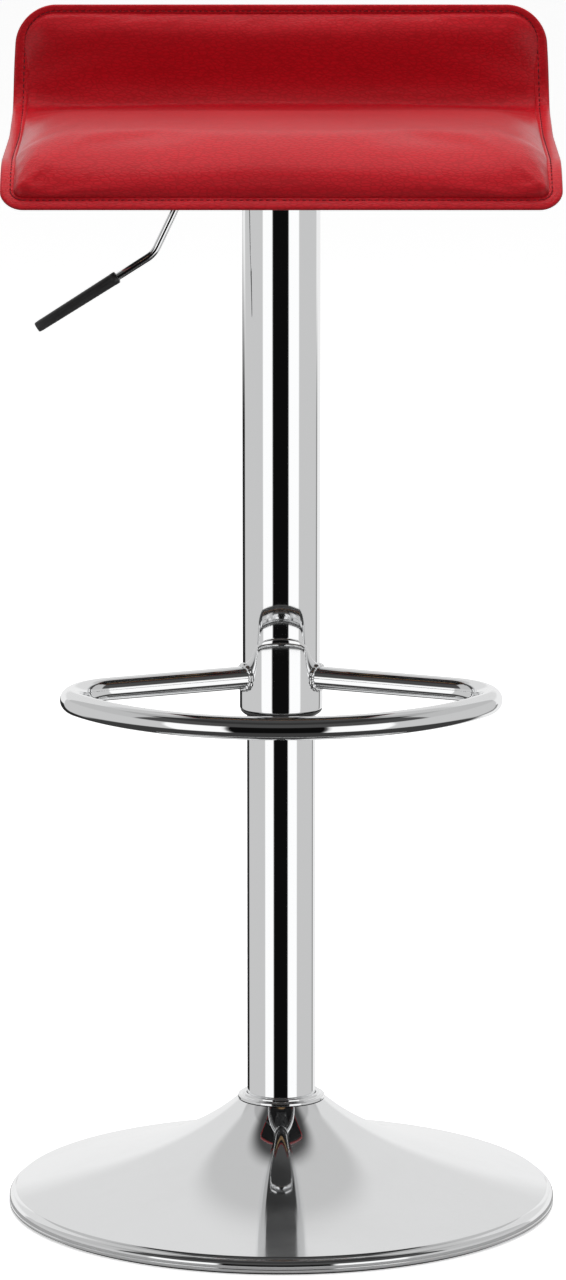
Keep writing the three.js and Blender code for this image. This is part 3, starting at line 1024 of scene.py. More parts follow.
def dress_cad(nodes: dict[str, bpy.types.Object], finishes: Finishes, slot: Slot, *names: str) -> None:
    """Dresses CAD nodes that keep their own shape.

    Args:
        nodes: the frame's nodes.
        finishes: the stool's finishes.
        slot: the slot to dress them in.
        *names: the nodes' names.
    """
    for name in names:
        finishes.dress(nodes[name], slot)
        LOG.info("%s: CAD shape kept", name)


def soften_edges(obj: bpy.types.Object, width: float) -> None:
    """Rounds the sharp edges of a CAD piece with modifiers.

    Args:
        obj: the CAD node.
        width: width of the rounding, in millimetres.
    """
    flat = obj.modifiers.new("merge_flats", "DECIMATE")
    flat.decimate_type = "DISSOLVE"
    flat.angle_limit = math.radians(1.0)
    edge = obj.modifiers.new("round_edges", "BEVEL")
    edge.width = width * MM
    edge.segments = 2
    edge.limit_method = "ANGLE"
    edge.angle_limit = math.radians(40.0)
    edge.harden_normals = False


# ---- Base and column ----


@dataclass
class TrumpetBase:
    """The spun dish, its rolled rim, the rubber floor ring, the ballast plate and the neck collar.

    Attributes:
        radius: radius over the rim.
        rim_height: height of the rim above the floor.
        rim_roll: radius of the rolled edge.
        sheet: thickness of the steel.
        slope: slope of the shallow cone.
        flare: height that the trumpet adds at the neck.
        fade: distance over which the flare dies away.
        neck: radius of the flat round the neck's hole.
        neck_hole: radius of the neck's hole.
        floor_ring: radius of the rubber ring on the floor.
        collar_top: height of the collar's top.
        column: radius of the column.
    """

    radius: float = 192.5
    rim_height: float = 11.0
    rim_roll: float = 4.5
    sheet: float = 1.6
    slope: float = 0.2
    flare: float = 33.9
    fade: float = 50.0
    neck: float = 31.0
    neck_hole: float = 27.8
    floor_ring: float = 188.4
    collar_top: float = 80.8
    column: float = 24.0

    def height(self, r: float) -> float:
        """Height of the dish's outer face at a radius."""
        cone = self.rim_height + (self.radius - self.rim_roll - r) * self.slope
        return cone + self.flare * math.exp(-(r - self.neck) / self.fade)

    def build(self, nodes: dict[str, bpy.types.Object], finishes: Finishes) -> None:
        """Builds and dresses the base.

        Args:
            nodes: the frame's nodes.
            finishes: the stool's finishes.
        """
        mount(self._dish(), finishes, Body.BASE, Slot.CHROME, "base_dish")
        mount(self._ring(), finishes, Body.BASE, Slot.BLACK_RUBBER, "base_floor_ring")
        mount(self._collar(), finishes, Body.BASE, Slot.CHROME, "neck_collar")
        dress_cad(nodes, finishes, Slot.BLACK_STEEL, "base_ballast_plate")
        soften_edges(nodes["base_ballast_plate"], 0.6)
        dress_cad(nodes, finishes, Slot.BARE_STEEL, "column_socket")

    def _dish(self) -> bpy.types.Object:
        """The dish: a bead rolled round the rim, a short skirt, and the flared neck.

        Returns:
            The dish.
        """
        rim = self.radius - self.rim_roll
        radii = [self.neck + (rim - self.neck) * (step / 72) ** 1.25 for step in range(73)]
        outer = [(r, self.height(r)) for r in radii]
        roll_z = self.rim_height - self.rim_roll
        roll = [
            (
                rim + self.rim_roll * math.sin(math.radians(deg)),
                roll_z + self.rim_roll * math.cos(math.radians(deg)),
            )
            for deg in (14, 24, 34, 44, 54, 64, 74, 82, 90)
        ]
        inner_r = self.radius - self.sheet
        skirt = [
            (self.radius, 5.3),
            (self.radius - 0.45, 4.9),
            (self.radius - 0.45, 4.4),
            (self.radius, 4.0),
            (self.radius, 2.6),
            (self.radius - 0.5, 2.0),
            (inner_r, 2.0),
            (inner_r, roll_z),
        ]
        inner = [(r, self.height(r) - self.sheet * 1.15) for r in radii[2:]][::-1]
        neck_z = self.height(self.neck)
        lip = [
            (self.neck, neck_z - self.sheet),
            (self.neck_hole, neck_z - self.sheet),
            (self.neck_hole, neck_z - 0.4),
            (self.neck_hole + 0.4, neck_z),
        ]
        return turned("trumpet_dish", lip + outer + roll + skirt + inner, 256)

    def _ring(self) -> bpy.types.Object:
        """The rubber ring under the skirt, with its barb and three shallow grooves in its foot.

        Returns:
            The ring.
        """
        inner = self.floor_ring - 12.4
        foot: list[Point2] = []
        for groove in range(3):
            start = inner + 2.6 + groove * 3.0
            foot += [(start, 0.0), (start + 0.3, 0.7), (start + 0.9, 0.7), (start + 1.2, 0.0)]
        outline = [
            (inner, 0.5),
            (inner + 0.5, 0.0),
            *foot,
            (self.floor_ring - 0.4, 0.0),
            (self.floor_ring, 0.4),
            (self.floor_ring, 2.4),
            (self.floor_ring + 2.1, 2.9),
            (self.floor_ring, 5.6),
            (self.floor_ring - 4.4, 5.6),
            (self.floor_ring - 4.4, 3.0),
            (inner, 3.0),
        ]
        return turned("floor_ring", outline, 192)

    def _collar(self) -> bpy.types.Object:
        """The stepped ring that trims the joint between the neck and the column.

        Returns:
            The collar.
        """
        foot = self.height(self.neck) + 0.3
        bore = self.column + 0.3
        outline = rounded(
            [
                (bore, foot, 0.0),
                (30.6, foot, 0.5),
                (30.6, foot + 2.3, 0.9),
                (28.3, foot + 2.3, 0.35),
                (27.4, foot + 2.7, 0.3),
                (27.4, self.collar_top, 0.9),
                (bore + 0.8, self.collar_top, 0.4),
                (bore, self.collar_top - 0.8, 0.2),
            ]
        )
        return turned("neck_trim_collar", outline, 160)


@dataclass
class Column:
    """The fixed lower tube and, inside it, the thrust bearing, the piston rod and the gas spring.

    Attributes:
        radius: radius of the tube.
        wall: its wall.
        foot_radius: radius of its tapered foot.
        foot: height of its foot.
        taper_top: where the taper ends.
        top: height of its top.
        spring: radius of the gas spring's tube.
    """

    radius: float = 24.0
    wall: float = 1.5
    foot_radius: float = 22.8
    foot: float = 11.5
    taper_top: float = 75.0
    top: float = 448.0
    spring: float = 14.0

    def build(self, nodes: dict[str, bpy.types.Object], finishes: Finishes) -> None:
        """Builds and dresses the column.

        Args:
            nodes: the frame's nodes.
            finishes: the stool's finishes.
        """
        bore = self.radius - self.wall
        tube = turned(
            "lower_column",
            [
                (self.foot_radius - self.wall, self.foot),
                (self.foot_radius, self.foot),
                (self.radius, self.taper_top),
                (self.radius, self.top - 0.4),
                (self.radius - 0.4, self.top),
                (bore, self.top),
                (bore, self.taper_top),
            ],
        )
        mount(tube, finishes, Body.BASE, Slot.CHROME, "column_tube")
        mount(self._bush(bore - 0.3), finishes, Body.BASE, Slot.NYLON, "column_guide_bush")
        steel = ("column_end_plate", "bearing_race_lower", "piston_rod", "rod_retaining_clip", "rod_washer")
        more = ("bearing_race_upper", "piston", "piston_nut", "valve_body", "release_pin")
        dress_cad(nodes, finishes, Slot.BARE_STEEL, *steel, *more)
        dress_cad(nodes, finishes, Slot.NYLON, "bearing_ball_cage", "pressure_tube_gland")
        dress_cad(nodes, finishes, Slot.BLACK_RUBBER, "rubber_buffer", "piston_seal")
        dress_cad(nodes, finishes, Slot.BLACK_STEEL, "pressure_tube")

    def _bush(self, radius: float) -> bpy.types.Object:
        """The guide bush in the top of the tube, with a flange that sits on its end.

        Args:
            radius: radius of the bush's outside.

        Returns:
            The bush.
        """
        bore = self.spring + 0.3
        seat = self.top + 0.3
        outline = rounded(
            [
                (bore, self.top - 75, 0.6),
                (radius, self.top - 75, 1.0),
                (radius, seat, 0.0),
                (self.radius - 0.4, seat, 0.3),
                (self.radius - 0.4, seat + 2.8, 0.9),
                (bore, seat + 2.8, 1.0),
            ]
        )
        return turned("guide_bush", outline, 96)


@dataclass
class Sleeve:
    """The outer tube that slides over the column, its end trim, its cap and the seat's hub.

    Attributes:
        radius: radius of the sleeve.
        wall: its wall.
        foot: height of its lower end.
        top: height of its upper end.
        column: radius of the column inside it.
        hub_foot: height of the hub's lower end.
        hub_top: height of the hub's upper end.
    """

    radius: float = 27.0
    wall: float = 1.5
    foot: float = 357.0
    top: float = 712.5
    column: float = 24.0
    hub_foot: float = 668.0
    hub_top: float = 712.7

    def build(self, finishes: Finishes) -> None:
        """Builds and dresses the sleeve.

        Args:
            finishes: the stool's finishes.
        """
        bore = self.radius - self.wall
        tube = rounded(
            [
                (bore, self.foot, 0.3),
                (self.radius, self.foot, 0.6),
                (self.radius, self.top, 0.6),
                (bore, self.top, 0.3),
            ]
        )
        mount(turned("outer_sleeve", tube), finishes, Body.SEAT, Slot.CHROME, "sleeve_tube")
        mount(self._end_trim(bore - 0.3), finishes, Body.SEAT, Slot.BLACK_PLASTIC, "sleeve_end_ring")
        cap = rounded(
            [
                (19.3, self.top - 10, 0.5),
                (bore - 0.3, self.top - 10, 0.5),
                (bore - 0.3, self.top, 0.6),
                (19.3, self.top, 0.6),
            ]
        )
        mount(turned("sleeve_cap", cap, 96), finishes, Body.SEAT, Slot.BLACK_PLASTIC, "sleeve_top_cap")
        hub = rounded(
            [
                (14.3, self.hub_foot, 0.4),
                (17.5, self.hub_foot, 0.8),
                (19.0, self.hub_foot + 5, 0.8),
                (19.0, self.hub_top, 0.4),
                (13.4, self.hub_top, 0.3),
            ]
        )
        mount(turned("seat_socket_hub", hub, 96), finishes, Body.SEAT, Slot.BARE_STEEL, "seat_hub")

    def _end_trim(self, plug: float) -> bpy.types.Object:
        """The flared ring that closes the sleeve's lower end: a thin lip over a tapered foot.

        Args:
            plug: radius of the part that fits inside the sleeve.

        Returns:
            The trim.
        """
        slide = self.column + 0.4
        lip = self.foot - 0.3
        outline = [
            (slide, lip - 3.7),
            (slide + 0.9, lip - 3.6),
            *((slide + 1.2 + t * 3.0, lip - 3.4 + 2.6 * t**1.7) for t in (0.15, 0.35, 0.55, 0.75, 0.95)),
            (28.5, lip - 0.65),
            (28.6, lip - 0.35),
            (28.45, lip - 0.05),
            (28.2, lip),
            (plug, lip),
            (plug, self.foot + 17.4),
            (plug - 0.6, self.foot + 18.0),
            (slide, self.foot + 18.0),
        ]
        return turned("sleeve_end_trim", outline, 160)


# ---- Footrest ----


@dataclass
class Footrest:
    """The tube bent into a loop, the saddle plate that carries it, and the welds between them.

    Attributes:
        level: height of the loop's centre.
        tube: radius of the tube.
        arc: radius of the long front arc.
        front: Y of the front of the loop's centre line.
        corner: radius of the two corners.
        arm_start: where each arm leaves the sleeve.
        arm_fall: degrees that each arm runs forward of straight sideways.
        sleeve: radius of the sleeve.
        saddle_t: thickness of the saddle plate.
        saddle_foot: height of the saddle's lower edge.
    """

    level: float = 381.0
    tube: float = 8.0
    arc: float = 162.0
    front: float = -190.0
    corner: float = 40.0
    arm_start: Point2 = (23.0, -13.0)
    arm_fall: float = 23.6
    sleeve: float = 27.0
    saddle_t: float = 2.0
    saddle_foot: float = 357.3

    def build(self, finishes: Finishes) -> None:
        """Builds and dresses the footrest.

        Args:
            finishes: the stool's finishes.
        """
        loop = swept("footrest_loop", self.centre_line(), lambda share: self.tube, 40)
        mount(loop, finishes, Body.SEAT, Slot.CHROME, "footrest_ring")
        mount(self._saddle(), finishes, Body.SEAT, Slot.CHROME, "footrest_saddle")
        for side, label in ((1, "right"), (-1, "left")):
            bead = mount(self._arm_weld(side, label), finishes, Body.SEAT, Slot.CHROME)
            finishes.dress(bead, Slot.CHROME, finishes.welded)

    def centre_line(self) -> list[Vector]:
        """The loop's centre line: an arm, a corner, the long front arc, and the same mirrored.

        Returns:
            The line's points in millimetres.
        """
        arc_centre = Vector((0.0, self.front + self.arc))
        fall = math.radians(self.arm_fall)
        along = Vector((math.cos(fall), -math.sin(fall)))
        inward = Vector((along.y, -along.x))
        start = Vector(self.arm_start)
        offset = start + inward * self.corner - arc_centre
        reach = self.arc - self.corner
        b = offset.dot(along)
        arm = -b + math.sqrt(b * b - offset.length_squared + reach * reach)
        arm_end = start + along * arm
        corner = arm_end + inward * self.corner
        turn = math.atan2(corner.y - arc_centre.y, corner.x - arc_centre.x)
        arm_side = math.atan2(-inward.y, -inward.x)
        half = [start - along * 1.0]
        half += [start + along * (arm * step / 8) for step in range(1, 8)]
        for step in range(19):
            angle = arm_side + (turn - arm_side) * step / 18
            half.append(corner + Vector((math.cos(angle), math.sin(angle))) * self.corner)
        for step in range(1, 27):
            angle = turn + (-math.pi / 2 - turn) * step / 26
            half.append(arc_centre + Vector((math.cos(angle), math.sin(angle))) * self.arc)
        other = [Vector((-p.x, p.y)) for p in half[:-1]][::-1]
        return [Vector((p.x, p.y, self.level)) for p in half + other]

    def _top_edge(self, x: float) -> float:
        """Height of the saddle's bell-shaped top edge at a distance from its middle.

        Args:
            x: the distance from the middle.

        Returns:
            The height in millimetres.
        """
        z = self.level
        if abs(x) <= 19:
            knots = ((0.0, z + 30.5), (16.0, z + 30.0), (19.0, z + 22.0))
        else:
            knots = ((19.0, z + 22.0), (21.5, z + 11.0), (30.0, z + 8.0))
        best = knots[2][1]
        for step in range(41):
            t = step / 40
            px, pz = (
                (1 - t) ** 2 * knots[0][i] + 2 * t * (1 - t) * knots[1][i] + t * t * knots[2][i]
                for i in (0, 1)
            )
            if px >= abs(x) - 1e-6:
                best = pz
                break
        return best

    def _saddle(self) -> bpy.types.Object:
        """The plate wrapped round the sleeve's front, its edges eased over.

        Returns:
            The plate.
        """
        inner = self.sleeve + 0.3
        outer = inner + self.saddle_t
        half_turn = math.radians(83.0)
        rounding = 1.1
        columns = 88
        rows = [0.0, 0.25, 0.7, 1.3, *(1.3 + step * 3.2 for step in range(1, 8))]
        rings = []
        for column in range(columns + 1):
            share = 2 * column / columns - 1
            angle = half_turn * math.copysign(1 - (1 - abs(share)) ** 1.35, share)
            top = self._top_edge(outer * math.sin(angle))
            side_gap = outer * (half_turn - abs(angle))
            ladder = [self.saddle_foot + row for row in rows[:-1]]
            ladder += [ladder[-1] + (top - 1.3 - ladder[-1]) * step / 8 for step in range(1, 9)]
            ladder += [top - 0.7, top - 0.25, top]
            face = []
            for z in ladder:
                gap = min(z - self.saddle_foot, top - z, side_gap)
                ease = 1 - min(gap / rounding, 1.0)
                r = outer - rounding * (1 - math.sqrt(1 - ease * ease))
                face.append((r * math.sin(angle), -r * math.cos(angle), z))
            back = [(inner * math.sin(angle), -inner * math.cos(angle), z) for z in reversed(ladder)]
            rings.append(face + back)
        return lofted("footrest_saddle_plate", rings, crease_deg=50.0)

    def _arm_weld(self, side: int, label: str) -> bpy.types.Object:
        """The weld bead where an arm meets the saddle, laid in overlapping ripples.

        Args:
            side: 1 for the arm at +X and -1 for the other.
            label: which arm, for the name.

        Returns:
            The bead.
        """
        fall = math.radians(self.arm_fall)
        along = Vector((side * math.cos(fall), -math.sin(fall), 0.0))
        up = Vector((0.0, 0.0, 1.0))
        level = along.cross(up).normalized()
        start = Vector((side * self.arm_start[0], self.arm_start[1], self.level))
        saddle = self.sleeve + 0.3 + self.saddle_t
        path = []
        for step in range(72):
            turn = 2 * math.pi * step / 72
            ray = start + (level * math.cos(turn) + up * math.sin(turn)) * (self.tube + 0.3)
            flat = Vector((ray.x, ray.y))
            run = Vector((along.x, along.y))
            b = flat.dot(run)
            out = -b + math.sqrt(max(b * b - flat.length_squared + saddle * saddle, 0.0))
            path.append(ray + along * (out + 0.4))
        centre = sum(path, Vector()) / len(path)
        rings = []
        for index, point in enumerate(path):
            ahead = (path[(index + 1) % 72] - path[index - 1]).normalized()
            outward = (point - centre).normalized()
            ripple = 1.0 + 0.16 * math.sin(index * 2 * math.pi / 4.5)
            lump = noise.noise(point * 0.28) * 0.5
            rings.append(ring_about(point, ahead, outward, 1.75 * ripple + lump, 12))
        return lofted(f"footrest_weld_{label}", rings, looped=True, crease_deg=75.0)


# ---- Seat mounting and height lever ----


@dataclass
class SeatMount:
    """The bracket, the plate and the four screws that hold the seat on its column.

    Attributes:
        plate: height of the plate's lower face.
        screw_top: height that the screws reach.
        screw_x: distance of the screws from the middle.
        screw_y: Y of the front and back pairs.
    """

    plate: float = 733.3
    screw_top: float = 745.5
    screw_x: float = 58.0
    screw_y: tuple[float, float] = (-65.0, 28.0)

    def build(self, nodes: dict[str, bpy.types.Object], finishes: Finishes) -> None:
        """Builds and dresses the mounting.

        Args:
            nodes: the frame's nodes.
            finishes: the stool's finishes.
        """
        dress_cad(nodes, finishes, Slot.BLACK_STEEL, "lever_bracket", "seat_plate")
        soften_edges(nodes["lever_bracket"], 0.5)
        soften_edges(nodes["seat_plate"], 0.7)
        number = 0
        for y in self.screw_y:
            for x in (-self.screw_x, self.screw_x):
                number += 1
                screw = self._screw(f"seat_bolt_{number}", x, y)
                mount(screw, finishes, Body.SEAT, Slot.BARE_STEEL, f"seat_screw_{number}")

    def _screw(self, name: str, x: float, y: float) -> bpy.types.Object:
        """A domed socket screw, its hexagon recess facing down.

        Args:
            name: the piece's name.
            x: its place across.
            y: its place along.

        Returns:
            The screw.
        """
        foot = self.plate - 4.0
        sides = 36

        def hexagon(radius: float) -> list[float]:
            """Distances from the axis to a hexagon of a given inner radius.

            Args:
                radius: the hexagon's inner radius.

            Returns:
                The distance for each side of the screw.
            """
            slice_of = math.pi / 3
            return [
                radius / math.cos((2 * math.pi * i / sides) % slice_of - slice_of / 2) for i in range(sides)
            ]

        outline = [
            (hexagon(1.2), foot + 2.2),
            (hexagon(1.9), foot + 2.2),
            (hexagon(2.0), foot + 0.3),
            ([2.5] * sides, foot),
            ([3.5] * sides, foot + 0.12),
            ([4.6] * sides, foot + 0.75),
            ([5.3] * sides, foot + 1.6),
            ([5.6] * sides, foot + 2.5),
            ([5.6] * sides, self.plate - 0.5),
            ([5.4] * sides, self.plate - 0.3),
            ([3.0] * sides, self.plate - 0.3),
            ([3.0] * sides, self.screw_top - 0.8),
            ([2.3] * sides, self.screw_top),
        ]
        rings = [
            [
                (x + r * math.cos(2 * math.pi * i / sides), y + r * math.sin(2 * math.pi * i / sides), z)
                for i, r in enumerate(radii)
            ]
            for radii, z in outline
        ]
        return lofted(name, rings)


@dataclass
class HeightLever:
    """The bent rod that works the gas spring, its grip and its pivot block.

    Attributes:
        radius: radius of the rod.
        level: height of the rod inside the bracket; not used.
        corners: X and Z of the rod's corners, from the valve to the grip's end.
        bend: radius of the rod's bends.
        grip: length of the grip.
    """

    radius: float = 2.75
    level: float = 721.5
    corners: tuple[Point2, ...] = ((6.0, 721.5), (-66.5, 721.5), (-88.0, 676.5), (-169.0, 625.0))
    bend: float = 19.0
    grip: float = 66.0

    def build(self, nodes: dict[str, bpy.types.Object], finishes: Finishes) -> None:
        """Builds and dresses the lever.

        Args:
            nodes: the frame's nodes.
            finishes: the stool's finishes.
        """
        mount(self._rod(), finishes, Body.LEVER, Slot.CHROME, "lever_rod")
        mount(self._grip(), finishes, Body.LEVER, Slot.BLACK_PLASTIC, "lever_grip")
        dress_cad(nodes, finishes, Slot.BLACK_PLASTIC, "lever_pivot_block")
        soften_edges(nodes["lever_pivot_block"], 0.5)

    def _line(self) -> tuple[list[Vector], Vector]:
        """The rod's corners, and the direction that the grip points in."""
        points = [Vector((x, 0.0, z)) for x, z in self.corners]
        return points, (points[-1] - points[-2]).normalized()

    def _rod(self) -> bpy.types.Object:
        """The rod, with a domed end just inside the grip's mouth.

        Returns:
            The rod.
        """
        points, out = self._line()
        points[-1] = points[-1] - out * 1.2
        path = bent_path(points, self.bend)
        dome = [(-1.6, 1.0), (-0.9, 0.93), (-0.4, 0.78), (-0.1, 0.5)]
        end = path.pop()
        path += [end + out * along for along, _ in dome]
        shares = [share for _, share in dome]
        lengths = [0.0]
        for before, after in zip(path, path[1:]):
            lengths.append(lengths[-1] + (after - before).length)

        def radius(share: float) -> float:
            """Radius of the rod at a share of its length.

            Args:
                share: share of the rod's length, from 0 to 1.

            Returns:
                The radius in millimetres.
            """
            for index in range(1, 5):
                if abs(share - lengths[-index] / lengths[-1]) < 1e-6:
                    return self.radius * shares[-index]
            return self.radius

        return swept("height_rod", path, radius, 28, Vector((0.0, 1.0, 0.0)))

    def _grip(self) -> bpy.types.Object:
        """The grip: a tapered tube with a collar, fine rings along it and an open end.

        Returns:
            The grip.
        """
        points, out = self._line()
        start = points[-1] - out * self.grip
        side = Vector((0.0, 1.0, 0.0))
        bore = self.radius + 0.25
        outline = [(0.5, bore), (0.0, bore + 0.5), (0.0, 3.9), (0.5, 4.35), (3.5, 4.4), (4.2, 4.25)]
        length = self.grip
        for step in range(40):
            along = 5.0 + (length - 9.0) * step / 39
            rib = 0.05 if step % 2 else -0.02
            outline.append((along, 4.3 - 0.55 * along / length + rib))
        outline += [(length - 2.4, 3.76), (length - 0.7, 3.6), (length - 0.1, 3.3), (length, bore + 0.25)]
        outline += [(length - 0.5, bore), (length * 0.5, bore)]
        rings = [ring_about(start + out * along, out, side, radius, 36) for along, radius in outline]
        return lofted("height_grip", rings, looped=True, crease_deg=50.0)


# ---- Seat ----


@dataclass
class SeatForm:
    """The seat's side profile and plan outline, on which the cushion, edge and stitches are laid.

    Attributes:
        half_width: half of the seat's width.
        front_corner: radius of the front corners.
        back_corner: radius of the back corners.
        profile: straights and arcs as (length, turn in degrees), from the front edge to the lip's top.
        start_deg: the profile's direction at the front edge.
        pan_start: Y and Z where the pan's straight begins.
        front_end: distance along the profile where the cover's front edge lies.
        lip_taper: how much each side draws in by the lip's top.
        taper_run: distance over which it draws in.
    """

    half_width: float = 188.4
    front_corner: float = 16.0
    back_corner: float = 27.0
    profile: tuple[Point2, ...] = (
        (66.6, -54.5),
        (115.0, 0.0),
        (31.4, 9.0),
        (44.0, 0.0),
        (30.3, 79.0),
        (53.5, 0.0),
    )
    start_deg: float = 54.5
    pan_start: Point2 = (-100.0, 754.0)
    front_end: float = 3.2
    lip_taper: float = 4.0
    taper_run: float = 75.0
    length: float = field(init=False)
    bend_middle: float = field(init=False)

    def __post_init__(self) -> None:
        """Works out the profile's length and the middle of its tight bend."""
        self.length = sum(run for run, _ in self.profile)
        self.bend_middle = self.length - self.profile[-1][0] - self.profile[-2][0] / 2

    def walk(self, s: float) -> tuple[float, float, float]:
        """Follows the profile from its front end.

        Args:
            s: the distance to go.

        Returns:
            Y, Z and heading, before the profile is put in its place.
        """
        y, z, heading = 0.0, 0.0, math.radians(self.start_deg)
        left = s
        for run, turn in self.profile:
            step = min(left, run)
            bend = math.radians(turn) * step / run
            chord = step if bend == 0 else 2 * step * math.sin(bend / 2) / bend
            y += chord * math.cos(heading + bend / 2)
            z += chord * math.sin(heading + bend / 2)
            heading += bend
            left -= step
            if left <= 0:
                break
        return y, z, heading

    def point(self, u: float, s: float, h: float) -> Vector:
        """A point of the seat.

        Args:
            u: distance across from the middle.
            s: distance along the profile.
            h: height above the seam's surface.

        Returns:
            The point in millimetres.
        """
        y, z, heading = self.walk(s)
        y0, z0, _ = self.walk(self.profile[0][0])
        drawn = max(1.0 - (self.length - s) / self.taper_run, 0.0) ** 2
        return Vector(
            (
                u * (1.0 - drawn * self.lip_taper / self.half_width),
                y - y0 + self.pan_start[0] - h * math.sin(heading),
                z - z0 + self.pan_start[1] + h * math.cos(heading),
            )
        )

    def corner(self, s: float) -> Point2:
        """The distance to the nearer end of the seat, and that end's corner radius.

        Args:
            s: distance along the profile.

        Returns:
            The distance and the radius.
        """
        if s < self.length / 2:
            return s - self.front_end, self.front_corner
        return self.length - s, self.back_corner

    def half_at(self, s: float, inset: float) -> float:
        """Half the width at a distance along, with the outline drawn in by an inset.

        Args:
            s: distance along the profile.
            inset: how far the outline is drawn in.

        Returns:
            Half of the width.
        """
        end, corner = self.corner(s)
        radius = max(corner - inset, 0.0)
        centre = max(corner, inset)
        into = min(max(centre - end, 0.0), radius)
        return self.half_width - centre + math.sqrt(radius * radius - into * into)

    def edge_distance(self, u: float, s: float) -> float:
        """Distance from the seat's outline to a point inside it.

        Args:
            u: distance across from the middle.
            s: distance along the profile.

        Returns:
            The distance.
        """
        end, corner = self.corner(s)
        side = self.half_width - abs(u)
        if side >= corner or end >= corner:
            return min(side, end)
        return corner - math.hypot(corner - side, corner - end)

    def outline(self, pitch: float) -> list[tuple[float, float, float, float]]:
        """Walks once round the seat's outline.

        Args:
            pitch: the wanted distance between points, in millimetres.

        Returns:
            (u, s, inward u, inward s) of evenly spaced points.
        """
        w, length, low = self.half_width, self.length, self.front_end
        front, back = self.front_corner, self.back_corner
        runs: list[tuple[float, Callable[[float], tuple[float, float, float, float]]]] = []

        def straight(u0: float, s0: float, u1: float, s1: float, iu: float, js: float) -> None:
            """Adds a straight run with one inward direction."""
            span = math.hypot(u1 - u0, s1 - s0)
            runs.append((span, lambda t: (u0 + (u1 - u0) * t, s0 + (s1 - s0) * t, iu, js)))

        def bend(cu: float, cs: float, radius: float, start_deg: float) -> None:
            """Adds a quarter turn about a centre.

            Args:
                cu: the centre's distance across.
                cs: the centre's distance along.
                radius: radius of the turn.
                start_deg: the angle where it starts.
            """

            def at(t: float) -> tuple[float, float, float, float]:
                """The point at a share of the turn.

                Args:
                    t: share of the turn.

                Returns:
                    (u, s, inward u, inward s).
                """
                angle = math.radians(start_deg + 90 * t)
                iu, js = -math.cos(angle), -math.sin(angle)
                return cu - radius * iu, cs - radius * js, iu, js

            runs.append((radius * math.pi / 2, at))

        straight(0.0, low, w - front, low, 0.0, 1.0)
        bend(w - front, low + front, front, -90)
        straight(w, low + front, w, length - back, -1.0, 0.0)
        bend(w - back, length - back, back, 0)
        straight(w - back, length, back - w, length, 0.0, -1.0)
        bend(back - w, length - back, back, 90)
        straight(-w, length - back, -w, low + front, 1.0, 0.0)
        bend(front - w, low + front, front, 180)
        straight(front - w, low, 0.0, low, 0.0, 1.0)
        total = sum(span for span, _ in runs)
        count = round(total / pitch)
        points = []
        for index in range(count):
            left = total * index / count
            for span, at in runs:
                if left <= span:
                    points.append(at(left / span))
                    break
                left -= span
        return points


